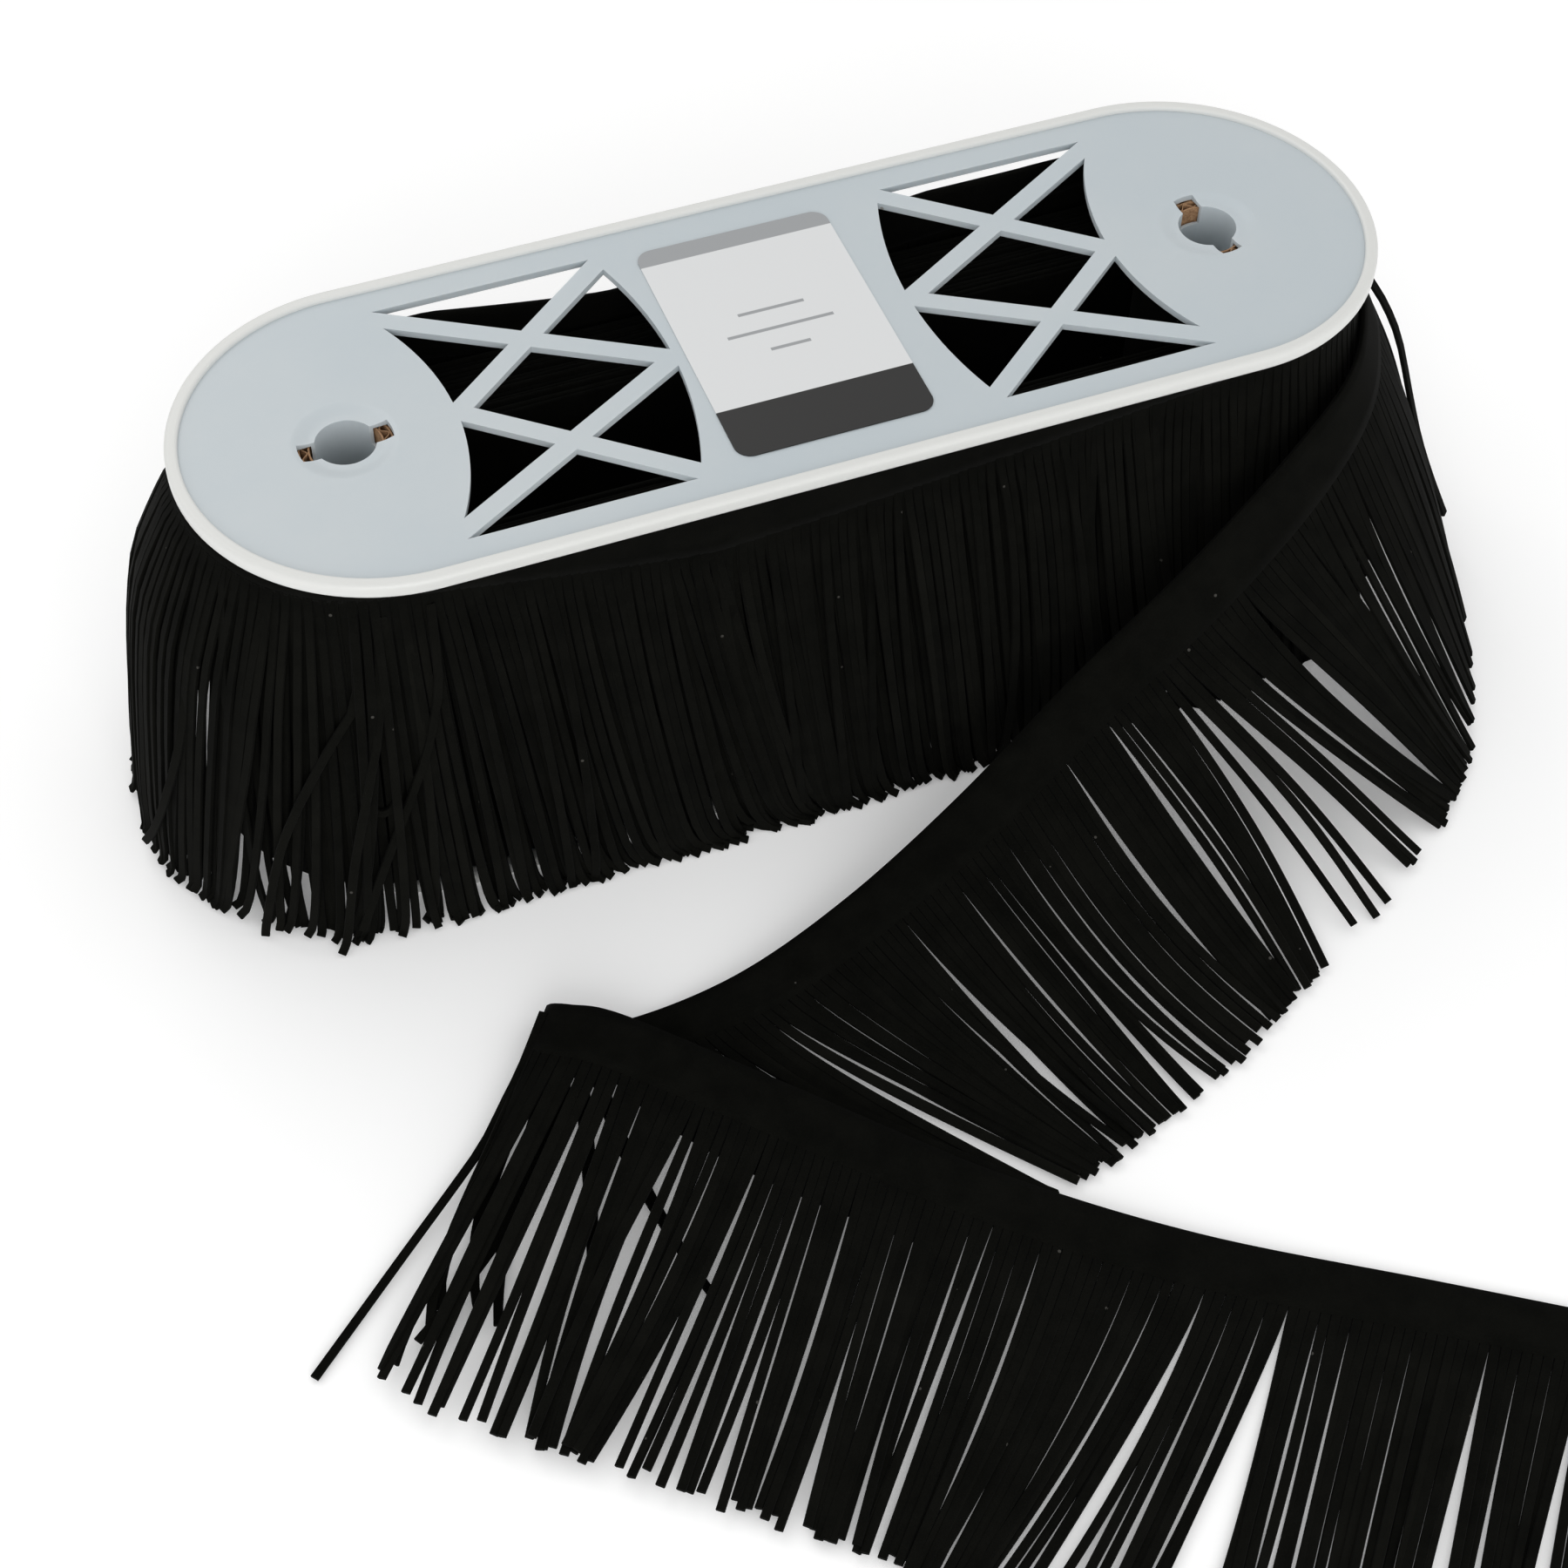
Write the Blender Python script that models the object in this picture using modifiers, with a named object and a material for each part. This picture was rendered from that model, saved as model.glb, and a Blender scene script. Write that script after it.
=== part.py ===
"""Roll of black fringe trim on a flat reel, with its loose end folded back on the floor.

Metres, +Z up. The origin is on the floor under the middle of the reel. +X runs along the
reel, and the loose end lies on the -Y side.
"""

import math

import bmesh
import bpy
import numpy as np

MM = 0.001

# Reel
REEL_HEIGHT = 102 * MM
FLANGE_HALF_WIDTH = 44 * MM
END_CENTRE_X = 90.4 * MM  # middle of each round end
RIM_HEIGHT = 3.6 * MM
RIM_WIDTH = 2.8 * MM
RECESS = 1.0 * MM  # plate lies this far below the rim, on both faces
RIM_ROUNDING = 0.9 * MM
HUB_X = 98.0 * MM
HUB_HOLE_R = 6.4 * MM
HUB_TUBE_R = 7.1 * MM
HUB_TUBE_DEPTH = 18 * MM
HUB_DISH_R = 11 * MM
HUB_DISH_FLOOR_R = 5 * MM
HUB_DISH_DEPTH = 0.8 * MM
SLOT_LENGTH = 20 * MM
SLOT_WIDTH = 5 * MM
SLOT_DEPTH = 3 * MM
SLOT_TURNS = {-1: 3, 1: 98}  # degrees from the reel's length, at the left and the right hub
FLANGE_STEPS = 20  # facets round each end

# Latticed window between a hub and the middle panel
WINDOW_HALF_WIDTH = 35 * MM
HUB_ARC_X, HUB_ARC_R = 135.6 * MM, 61.4 * MM
PANEL_ARC_X, PANEL_ARC_R = 120.2 * MM, 93.5 * MM
STRUT_WIDTH = 4.4 * MM
STRUT_REACH = 33.2 * MM  # half width at which a strut meets the far arc

# Label on the middle panel
LABEL_WIDTH, LABEL_LENGTH = 44 * MM, 66 * MM
LABEL_CORNER_R = 3.5 * MM
LABEL_THICKNESS = 0.4 * MM
LABEL_X = -2.4 * MM

# Corrugated core round each hub
CORE_R = 13.4 * MM
CORE_HOLE_R = 7.4 * MM

# Trim
TRIM_WIDTH = 95 * MM
HEADING_WIDTH = 13 * MM  # band above the cuts
SUEDE = 1.1 * MM
FLOOR_LEVEL = 0.8 * MM  # middle of a strand that lies on the floor
GAP = 0.3 * MM
CUT_PAST = 5 * MM  # a cutter runs this far past the face it cuts
ROLL_STRANDS = 100
TAIL_STRANDS = 130
STRAND_SHARE = 0.68  # of the pitch; the rest is the cut between two strands
ROLL_DRIFT = 0.14  # furthest a tip strays along the trim, in pitches
TAIL_DRIFT = 0.3  # furthest a tip strays, in half widths of a strand
TAIL_LEVELS = (0.4, 0.7, 1.0)  # shares of the trim's width at which a strand bends
RULE_STEPS = 2000  # fine marks along the loose end, for even spacing
WINDING_SWAY = 0.4 * MM
SWAY_TURN = 20 * MM  # height in which the sway turns by one radian

# Section of the wound turns, from the inner foot over the top to the outer foot
WOUND_SECTION = (
    # half width, height
    (13.8, 3.9),
    (13.8, 80.5),
    (19.0, 84.0),
    (27.0, 84.8),
    (33.2, 83.6),
    (33.6, 72.0),
    (36.8, 45.0),
    (42.6, 16.0),
    (43.4, 3.9),
)

# The outer turn, from the top of its heading down to the floor: half width and height on most
# of the lap, then at the left end, where the strands bulge out under the flange
OUTER_TURN = (
    # half width, height, half width at the left, height at the left
    (34.6, 91.0, 34.6, 91.0),
    (34.8, 78.0, 36.6, 78.0),
    (35.2, 72.0, 43.5, 79.0),
    (38.6, 45.0, 50.3, 56.0),
    (45.4, 16.0, 55.4, 26.0),
    (49.0, 1.3, 57.4, 6.0),
)
HEADING_RISE = 12.0  # the heading climbs by this much from its lowest place to the round ends
HEADING_LOWEST_X = -30.0
RISE_POWER = 1.2
HEADING_CEILING = 97.4
BULGE_POWER = 1.5
TIP_REACH = (50.5, 58.0)  # half width at the tips, shortest and longest
TIP_REACH_LEFT = (58.0, 59.5)
TIP_REACH_BY_TAIL = (50.2, 50.2)

# Loose end: top edge of the heading, tip of the strand there, height of the tip and of the
# strand's middle, all in millimetres
TAIL = (
    # head x, y, z, tip x, y, z, middle z
    (107.4, 35.1, 84.5, 112.1, 53.6, 1.0, 34.0),
    (121.7, 28.4, 84.5, 138.1, 45.6, 1.0, 32.0),
    (133.2, 12.8, 84.0, 158.9, 16.0, 0.8, 30.0),
    (134.6, -5.0, 83.5, 161.0, -18.0, 0.8, 28.0),
    (130.5, -18.5, 82.5, 157.0, -47.0, 0.8, 28.0),
    (119.5, -34.5, 80.5, 149.5, -68.0, 0.8, 28.0),
    (101.0, -46.0, 74.0, 135.0, -92.0, 0.8, 26.0),
    (73.3, -56.0, 58.0, 113.0, -112.0, 0.8, 22.0),
    (44.6, -62.0, 38.0, 79.0, -131.0, 0.8, 14.0),
    (12.4, -72.0, 19.0, 38.0, -152.0, 0.8, 6.0),
    (-17.0, -82.0, 9.0, 8.0, -161.0, 0.8, 2.5),
    (-45.0, -89.5, 4.0, -22.0, -166.0, 0.8, 1.0),
    (-70.0, -91.0, 1.6, -62.0, -164.0, 0.8, 0.8),
    (-84.5, -87.0, 1.4, -108.0, -152.0, 0.8, 0.8),
    (-90.0, -82.4, 4.8, -148.0, -147.0, 2.6, 3.4),
    (-83.0, -87.4, 8.2, -143.0, -160.0, 3.8, 6.2),
    (-72.5, -94.0, 8.0, -132.0, -170.0, 3.6, 5.8),
    (-46.0, -121.0, 6.6, -101.0, -195.5, 3.0, 4.4),
    (-13.0, -154.4, 4.4, -70.0, -221.0, 1.6, 3.4),
    (21.0, -181.2, 2.0, -37.0, -248.0, 0.8, 0.8),
    (62.0, -207.6, 1.0, 4.0, -275.0, 0.8, 0.8),
    (96.0, -230.0, 1.0, 37.0, -297.0, 0.8, 0.8),
)


def clear_scene():
    for obj in list(bpy.data.objects):
        bpy.data.objects.remove(obj, do_unlink=True)


def new_collection(name):
    collection = bpy.data.collections.new(name)
    bpy.context.scene.collection.children.link(collection)
    return collection


def new_material(name, colour, roughness):
    material = bpy.data.materials.new(name)
    material.use_nodes = True
    shader = material.node_tree.nodes["Principled BSDF"]
    shader.inputs["Base Color"].default_value = (*colour, 1)
    shader.inputs["Roughness"].default_value = roughness
    shader.inputs["Metallic"].default_value = 0
    return material


def new_object(name, mesh, collection, material=None):
    obj = bpy.data.objects.new(name, mesh)
    collection.objects.link(obj)
    if material:
        mesh.materials.append(material)
    return obj


def as_cutter(obj):
    obj.hide_render = True
    obj.display_type = "WIRE"
    return obj


def recalculate(mesh_data):
    bm = bmesh.new()
    bm.from_mesh(mesh_data)
    bmesh.ops.remove_doubles(bm, verts=bm.verts, dist=1e-6)
    bmesh.ops.dissolve_limit(bm, angle_limit=math.radians(0.5), verts=[], edges=bm.edges)
    bmesh.ops.recalc_face_normals(bm, faces=bm.faces)
    bm.to_mesh(mesh_data)
    bm.free()


def stadium(half_width, steps, centre_x):
    """Points round a straight-sided oval, anticlockwise from the near end of its right side."""
    turn = np.linspace(-math.pi / 2, math.pi / 2, steps + 1)
    right = np.stack([centre_x + half_width * np.cos(turn), half_width * np.sin(turn)], axis=1)
    return np.concatenate([right, -right])


def arc(centre_x, radius, half_width, steps):
    """Points on an arc about (centre_x, 0), from -half_width to half_width, bulging to -X."""
    reach = math.asin(half_width / radius)
    turn = np.linspace(-reach, reach, steps + 1)
    return np.stack([centre_x - radius * np.cos(turn), radius * np.sin(turn)], axis=1)


def prism(name, outline, low, high, collection, material=None):
    """A flat outline, filled and extruded from one height to another, as a mesh object."""
    curve = bpy.data.curves.new(name + "_outline", "CURVE")
    curve.dimensions = "2D"
    curve.fill_mode = "BOTH"
    curve.extrude = (high - low) / 2
    spline = curve.splines.new("POLY")
    spline.points.add(len(outline) - 1)
    for point, (x, y) in zip(spline.points, outline):
        point.co = (x, y, 0, 1)
    spline.use_cyclic_u = True
    guide = bpy.data.objects.new(name + "_guide", curve)
    guide.location.z = (low + high) / 2
    collection.objects.link(guide)
    bpy.context.view_layer.update()
    evaluated = guide.evaluated_get(bpy.context.evaluated_depsgraph_get())
    mesh_data = bpy.data.meshes.new_from_object(evaluated)
    mesh_data.transform(guide.matrix_world)
    bpy.data.objects.remove(guide, do_unlink=True)
    recalculate(mesh_data)
    return new_object(name, mesh_data, collection, material)


def turned_cone(name, x, low_radius, high_radius, low, high, collection, segments=24):
    """An upright cylinder or cone frustum on the reel's long axis."""
    mesh_data = bpy.data.meshes.new(name)
    bm = bmesh.new()
    bmesh.ops.create_cone(
        bm, cap_ends=True, segments=segments, radius1=low_radius, radius2=high_radius, depth=high - low
    )
    bmesh.ops.translate(bm, verts=bm.verts, vec=(x, 0, (low + high) / 2))
    bm.to_mesh(mesh_data)
    bm.free()
    return new_object(name, mesh_data, collection)


def boolean(obj, other, operation="DIFFERENCE"):
    modifier = obj.modifiers.new(operation.title() + "_" + other.name, "BOOLEAN")
    modifier.operation = operation
    modifier.object = other
    modifier.solver = "EXACT"


def bar_outline(start, end, width, overrun):
    """A straight bar between two points, run on past both of them."""
    start, end = np.array(start), np.array(end)
    along = (end - start) / np.linalg.norm(end - start)
    start, end = start - along * overrun, end + along * overrun
    side = np.array([-along[1], along[0]]) * width / 2
    return np.array([start + side, start - side, end - side, end + side])


def arc_point(centre_x, radius, half_width):
    return np.array([centre_x - math.sqrt(radius**2 - half_width**2), half_width])


def window_cutter(cutters):
    """The cells of the two latticed windows: each is a curved field less four crossing struts."""
    hub_side = arc(HUB_ARC_X, HUB_ARC_R, WINDOW_HALF_WIDTH, 6)
    panel_side = arc(PANEL_ARC_X, PANEL_ARC_R, WINDOW_HALF_WIDTH, 6)
    outline = np.concatenate([panel_side, hub_side[::-1]])
    low, high = -RIM_HEIGHT, 2 * RIM_HEIGHT
    field = prism("window_cells", outline, low, high, cutters)
    hub_arc, panel_arc = (HUB_ARC_X, HUB_ARC_R), (PANEL_ARC_X, PANEL_ARC_R)
    for side in (-1, 1):
        for start_arc, end_arc in ((hub_arc, panel_arc), (panel_arc, hub_arc)):
            start = arc_point(*start_arc, 0)
            end = arc_point(*end_arc, STRUT_REACH) * (1, side)
            bar = bar_outline(start, end, STRUT_WIDTH, STRUT_WIDTH)
            strut = prism("strut", bar, low - RIM_HEIGHT, high + RIM_HEIGHT, cutters)
            boolean(field, as_cutter(strut))
    mirror = field.modifiers.new("Other_window", "MIRROR")
    mirror.use_axis = (True, False, False)
    mirror.use_mirror_merge = False
    return as_cutter(field)


def hub_cutters(body, side, cutters):
    """The dished hole of one hub, with its tube joined on below and its two key slots."""
    x = side * HUB_X
    plate_top = RIM_HEIGHT - RECESS
    through = (-2 * HUB_TUBE_DEPTH, 2 * RIM_HEIGHT)
    tube_top = plate_top - HUB_DISH_DEPTH / 4
    tube = turned_cone("hub_tube", x, HUB_TUBE_R, HUB_TUBE_R, -HUB_TUBE_DEPTH, tube_top, cutters)
    boolean(body, as_cutter(tube), "UNION")
    dish_span = (plate_top - HUB_DISH_DEPTH, plate_top + HUB_DISH_DEPTH)
    dish_top_r = 2 * HUB_DISH_R - HUB_DISH_FLOOR_R
    dish = turned_cone("hub_dish", x, HUB_DISH_FLOOR_R, dish_top_r, *dish_span, cutters)
    boolean(body, as_cutter(dish))
    hole = turned_cone("hub_hole", x, HUB_HOLE_R, HUB_HOLE_R, *through, cutters)
    boolean(body, as_cutter(hole))
    turn = math.radians(SLOT_TURNS[side])
    reach = np.array([math.cos(turn), math.sin(turn)]) * SLOT_LENGTH / 2
    bar = bar_outline((x, 0) - reach, (x, 0) + reach, SLOT_WIDTH, 0)
    slot = prism("key_slots", bar, -SLOT_DEPTH, 2 * RIM_HEIGHT, cutters)
    boolean(body, as_cutter(slot))


def flange(name, lift, upside_down, collection, cutters, material):
    """One side plate of the reel, built with its outer face up and its inner face at z = 0."""
    outline = stadium(FLANGE_HALF_WIDTH, FLANGE_STEPS, END_CENTRE_X)
    body = prism(name, outline, 0, RIM_HEIGHT, collection, material)
    rounding = body.modifiers.new("Rounded_rim", "BEVEL")
    rounding.width = RIM_ROUNDING
    rounding.segments = 2
    rounding.limit_method = "ANGLE"
    rounding.angle_limit = math.radians(50)
    inset = stadium(FLANGE_HALF_WIDTH - RIM_WIDTH, FLANGE_STEPS, END_CENTRE_X)
    for low, high in ((RIM_HEIGHT - RECESS, 2 * RIM_HEIGHT), (-RIM_HEIGHT, RECESS)):
        boolean(body, as_cutter(prism("recess", inset, low, high, cutters)))
    for side in (-1, 1):
        hub_cutters(body, side, cutters)
    boolean(body, window_cutter(cutters))
    if upside_down:
        body.rotation_euler.x = math.pi
    body.location.z = lift
    follow(body, body)
    return body


def follow(obj, body):
    """Puts an object's cutters, and the struts that trim them, in the frame of the body."""
    for modifier in obj.modifiers:
        if modifier.type == "BOOLEAN":
            modifier.object.rotation_euler.x = body.rotation_euler.x
            modifier.object.location.z = body.location.z
            follow(modifier.object, body)


def closed_sweep(name, section, steps, collection, material, sway):
    """A closed section, given as half widths and heights, carried round the reel's oval."""
    rings = []
    for half_width, height in section:
        ring = stadium(half_width * MM, steps, HUB_X)
        angle = np.linspace(0, 2 * math.pi, len(ring), endpoint=False)
        out = 1 + sway * np.sin(3 * angle + height * MM / SWAY_TURN) / FLANGE_HALF_WIDTH
        rings.append(np.column_stack([ring[:, 0], ring[:, 1] * out, np.full(len(ring), height * MM)]))
    mesh_data = bpy.data.meshes.new(name)
    bm = bmesh.new()
    verts = [[bm.verts.new(point) for point in ring] for ring in rings]
    count = len(verts[0])
    for row in range(len(verts)):
        here, there = verts[row], verts[(row + 1) % len(verts)]
        for i in range(count):
            j = (i + 1) % count
            bm.faces.new((here[i], here[j], there[j], there[i]))
    bmesh.ops.recalc_face_normals(bm, faces=bm.faces)
    bm.to_mesh(mesh_data)
    bm.free()
    return new_object(name, mesh_data, collection, material)


def comb(name, heads, roots, strands, closed, collection, material):
    """A heading with strands cut below it, as an open sheet that Solidify thickens.

    heads and roots hold two points for each strand, at its two edges. strands holds, for
    each strand, rows of two points from just below the root to the tip.
    """
    mesh_data = bpy.data.meshes.new(name)
    bm = bmesh.new()
    top = [bm.verts.new(point) for point in heads]
    low = [bm.verts.new(point) for point in roots]
    columns = len(top)
    for i in range(columns if closed else columns - 1):
        j = (i + 1) % columns
        bm.faces.new((top[i], top[j], low[j], low[i]))
    for number, rows in enumerate(strands):
        left, right = low[2 * number], low[2 * number + 1]
        for a, b in rows:
            next_left, next_right = bm.verts.new(a), bm.verts.new(b)
            bm.faces.new((left, right, next_right, next_left))
            left, right = next_left, next_right
    bm.to_mesh(mesh_data)
    bm.free()
    obj = new_object(name, mesh_data, collection, material)
    thickness = obj.modifiers.new("Suede", "SOLIDIFY")
    thickness.thickness = SUEDE
    thickness.offset = 0
    thickness.use_even_offset = True
    return obj


def smooth(table, places):
    """Catmull-Rom reading of a table's rows at fractional row numbers."""
    table = np.array(table, float)
    padded = np.vstack([2 * table[0] - table[1], table, 2 * table[-1] - table[-2]])
    row = np.clip(places.astype(int), 0, len(table) - 2)
    t = (places - row)[:, None]
    a, b, c, d = (padded[row + k] for k in range(4))
    return 0.5 * (
        2 * b + (c - a) * t + (2 * a - 5 * b + 4 * c - d) * t**2 + (3 * b - a - 3 * c + d) * t**3
    )


def even_places(table, count):
    """Fractional row numbers that space points evenly along the first three columns."""
    dense = np.linspace(0, len(table) - 1, RULE_STEPS)
    points = smooth(table, dense)[:, :3]
    run = np.concatenate([[0], np.cumsum(np.linalg.norm(np.diff(points, axis=0), axis=1))])
    return np.interp(np.linspace(0, run[-1], count), run, dense)


def edge_steps(strand_count):
    """Where the two edges of each strand fall along the trim, in pitches."""
    middles = np.arange(strand_count) + 0.5
    return np.stack([middles - STRAND_SHARE / 2, middles + STRAND_SHARE / 2], axis=1).ravel()


def around(half_width, share):
    """A point and its direction of travel, at a share of the way round the outer turn."""
    straight = 2 * HUB_X
    bend = math.pi * OUTER_TURN[0][0] * MM
    lap = (share % 1) * 2 * (straight + bend)
    side = 1 if lap < straight + bend else -1
    lap = lap % (straight + bend)
    if lap < bend:
        turn = lap / bend * math.pi - math.pi / 2
        point = (HUB_X + half_width * math.cos(turn), half_width * math.sin(turn))
        travel = (-math.sin(turn), math.cos(turn))
    else:
        point = (HUB_X - (lap - bend), half_width)
        travel = (-1.0, 0.0)
    return side * np.array(point), side * np.array(travel)


def outer_level(level, share):
    """Half width and height of one row of the outer turn, in millimetres, at a share of the lap."""
    half_width, height, left_half_width, left_height = OUTER_TURN[level]
    point, travel = around(half_width * MM, share)
    bulge = max(0.0, -travel[1]) ** BULGE_POWER
    half_width += (left_half_width - half_width) * bulge
    height += (left_height - height) * bulge
    if level < 2:
        away = point[0] / MM - HEADING_LOWEST_X
        furthest = math.copysign(HUB_X / MM, away) - HEADING_LOWEST_X
        height += HEADING_RISE * min(1.0, away / furthest) ** RISE_POWER
    return half_width, min(height, HEADING_CEILING)


def tip_reach(share, rng):
    """Half width at which a strand of the outer turn ends, in millimetres."""
    point, travel = around(FLANGE_HALF_WIDTH, share)
    bulge = max(0.0, -travel[1]) ** BULGE_POWER
    plain = TIP_REACH_BY_TAIL if point[0] > HUB_X else TIP_REACH
    shortest, longest = np.array(plain) * (1 - bulge) + np.array(TIP_REACH_LEFT) * bulge
    return rng.uniform(shortest, longest)


def outer_turn_fringe(collection, material):
    """The last turn on the roll: a closed heading whose strands flare over the lower flange."""
    rng = np.random.default_rng(11)
    lap = 4 * HUB_X + 2 * math.pi * OUTER_TURN[0][0] * MM
    strand_width = STRAND_SHARE * lap / ROLL_STRANDS
    edges = []
    for level in range(2):
        row = []
        for share in edge_steps(ROLL_STRANDS) / ROLL_STRANDS:
            half_width, height = outer_level(level, share)
            row.append((*around(half_width * MM, share)[0], height * MM))
        edges.append(row)
    strands = []
    for number in range(ROLL_STRANDS):
        share = (number + 0.5) / ROLL_STRANDS
        drift = rng.uniform(-ROLL_DRIFT, ROLL_DRIFT) / ROLL_STRANDS
        levels = [outer_level(level, share) for level in range(2, len(OUTER_TURN))]
        levels.append((tip_reach(share, rng), FLOOR_LEVEL / MM))
        rows = []
        for k, (half_width, height) in enumerate(levels):
            middle, travel = around(half_width * MM, share + drift * (k + 1) / len(levels))
            half = travel * strand_width / 2
            z = height * MM
            rows.append(((*(middle - half), z), (*(middle + half), z)))
        strands.append(rows)
    return comb("outer_turn_fringe", *edges, strands, True, collection, material)


def loose_end(collection, material):
    """The trim that leaves the roll, sinks to the floor, folds back and lies over itself."""
    rng = np.random.default_rng(5)
    marks = np.linspace(0, 1, RULE_STEPS + 1)
    places = even_places(TAIL, len(marks))
    at = edge_steps(TAIL_STRANDS) / TAIL_STRANDS
    edges = smooth(TAIL, np.interp(at, marks, places)) * MM
    head, tip = edges[:, :3], edges[:, 3:6]
    low_middle = (head + tip) / 2
    low_middle[:, 2] = edges[:, 6]
    control = 2 * low_middle - (head + tip) / 2

    def drape(head, control, tip, v):
        point = head * (1 - v) ** 2 + control * 2 * v * (1 - v) + tip * v**2
        point[..., 2] = np.maximum(point[..., 2], FLOOR_LEVEL)
        return point

    root_at = HEADING_WIDTH / TRIM_WIDTH
    roots = drape(head, control, tip, root_at)
    strands = []
    for number in range(TAIL_STRANDS):
        pair = slice(2 * number, 2 * number + 2)
        ends = [part[pair].mean(axis=0) for part in (head, control, tip)]
        half = (roots[pair][1] - roots[pair][0]) / 2
        spread = np.linalg.norm(tip[pair][1] - tip[pair][0]) / np.linalg.norm(2 * half)
        narrowing = 1 - min(spread, 1)
        drift = rng.uniform(-TAIL_DRIFT, TAIL_DRIFT)
        rows = []
        for v in TAIL_LEVELS:
            level_half = half * (1, 1, 1 - v) * (1 - narrowing * v)
            middle = drape(*ends, v) + level_half * drift * (v - root_at)
            rows.append((middle - level_half, middle + level_half))
        strands.append(rows)
    return comb("loose_end_fringe", head, roots, strands, False, collection, material)


def rounded_rectangle(width, length, radius, centre_x, steps=4):
    corners = []
    for quarter, (sx, sy) in enumerate(((1, 1), (-1, 1), (-1, -1), (1, -1))):
        turn = np.linspace(0, math.pi / 2, steps + 1) + quarter * math.pi / 2
        middle = (centre_x + sx * (width / 2 - radius), sy * (length / 2 - radius))
        corners.append(np.stack([np.cos(turn), np.sin(turn)], axis=1) * radius + middle)
    return np.concatenate(corners)


def core_tube(name, x, collection, cutters, material):
    low, high = RIM_HEIGHT - RECESS + GAP, REEL_HEIGHT - RIM_HEIGHT + RECESS - GAP
    tube = turned_cone(name, x, CORE_R, CORE_R, low, high, collection)
    tube.data.materials.append(material)
    hole = turned_cone(name + "_hole", x, CORE_HOLE_R, CORE_HOLE_R, low - CUT_PAST, high + CUT_PAST, cutters)
    boolean(tube, as_cutter(hole))
    return tube


def main():
    clear_scene()
    parts = new_collection("fringe_trim_roll")
    cutters = new_collection("cutters")
    plastic = new_material("reel_plastic", (0.74, 0.77, 0.80), 0.38)
    suede = new_material("black_suede", (0.012, 0.011, 0.010), 0.9)
    board = new_material("corrugated_board", (0.45, 0.29, 0.17), 0.85)
    paper = new_material("label_paper", (0.86, 0.86, 0.87), 0.45)

    flange("top_flange", REEL_HEIGHT - RIM_HEIGHT, False, parts, cutters, plastic)
    flange("bottom_flange", RIM_HEIGHT, True, parts, cutters, plastic)
    core_tube("core_left", -HUB_X, parts, cutters, board)
    core_tube("core_right", HUB_X, parts, cutters, board)
    closed_sweep("wound_trim", WOUND_SECTION, 12, parts, suede, WINDING_SWAY)
    outer_turn_fringe(parts, suede)
    loose_end(parts, suede)
    label_low = REEL_HEIGHT - RECESS + GAP
    outline = rounded_rectangle(LABEL_WIDTH, LABEL_LENGTH, LABEL_CORNER_R, LABEL_X)
    prism("label", outline, label_low, label_low + LABEL_THICKNESS, parts, paper)


main()
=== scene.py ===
import math

import bmesh
import bpy
import numpy as np
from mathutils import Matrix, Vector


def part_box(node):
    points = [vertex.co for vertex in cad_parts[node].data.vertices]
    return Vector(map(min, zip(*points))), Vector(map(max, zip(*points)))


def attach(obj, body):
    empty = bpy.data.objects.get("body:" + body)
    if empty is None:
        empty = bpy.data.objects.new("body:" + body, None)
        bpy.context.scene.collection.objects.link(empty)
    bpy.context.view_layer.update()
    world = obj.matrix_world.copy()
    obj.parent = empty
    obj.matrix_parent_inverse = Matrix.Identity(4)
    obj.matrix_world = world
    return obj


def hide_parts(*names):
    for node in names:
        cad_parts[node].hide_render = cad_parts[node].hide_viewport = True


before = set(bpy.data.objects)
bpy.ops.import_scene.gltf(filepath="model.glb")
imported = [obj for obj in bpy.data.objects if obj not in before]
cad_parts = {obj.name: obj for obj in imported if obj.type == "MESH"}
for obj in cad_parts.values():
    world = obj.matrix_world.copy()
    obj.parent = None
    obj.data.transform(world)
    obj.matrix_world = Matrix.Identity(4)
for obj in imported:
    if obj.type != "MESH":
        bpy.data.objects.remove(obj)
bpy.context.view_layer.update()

# Roll of black fringe trim on a flat milky reel, with its loose end folded back on the floor.
# Metres, +Z up, origin on the floor under the middle of the reel, +X along the reel.

mm = 0.001
mergeDistance = 0.001 * mm
scene = bpy.context.scene
print("frame loaded:", ", ".join(sorted(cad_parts)))


# Camera, light and floor

viewpoint = {
    "place": (-0.1671, -0.4094, 0.5084),
    "turn": (38.055, -0.999, -21.032),  # degrees about X, Y and Z
    "lens": 64.2,
    "sensor": 36.0,
}
lights = {
    # name: (place, aim, width, power, colour)
    "softboxBehind": ((-0.25, 0.75, 0.85), (0.0, 0.0, 0.08), 0.7, 2.0, (1.0, 0.99, 0.97)),
    "softboxFront": ((-0.35, -1.25, 0.60), (0.0, 0.0, 0.03), 0.9, 6.0, (1.0, 1.0, 1.0)),
}
surroundings = {"colour": (1.0, 1.0, 1.0), "strength": 0.78}
floorLook = {"size": 6.0, "colour": (0.93, 0.93, 0.93), "roughness": 0.9, "glow": 0.17}


def addCamera():
    data = bpy.data.cameras.new("photoCamera")
    data.lens = viewpoint["lens"]
    data.sensor_width = viewpoint["sensor"]
    data.clip_start, data.clip_end = 0.01, 20
    camera = bpy.data.objects.new("photoCamera", data)
    camera.location = viewpoint["place"]
    camera.rotation_euler = [math.radians(angle) for angle in viewpoint["turn"]]
    scene.collection.objects.link(camera)
    scene.camera = camera


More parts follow.
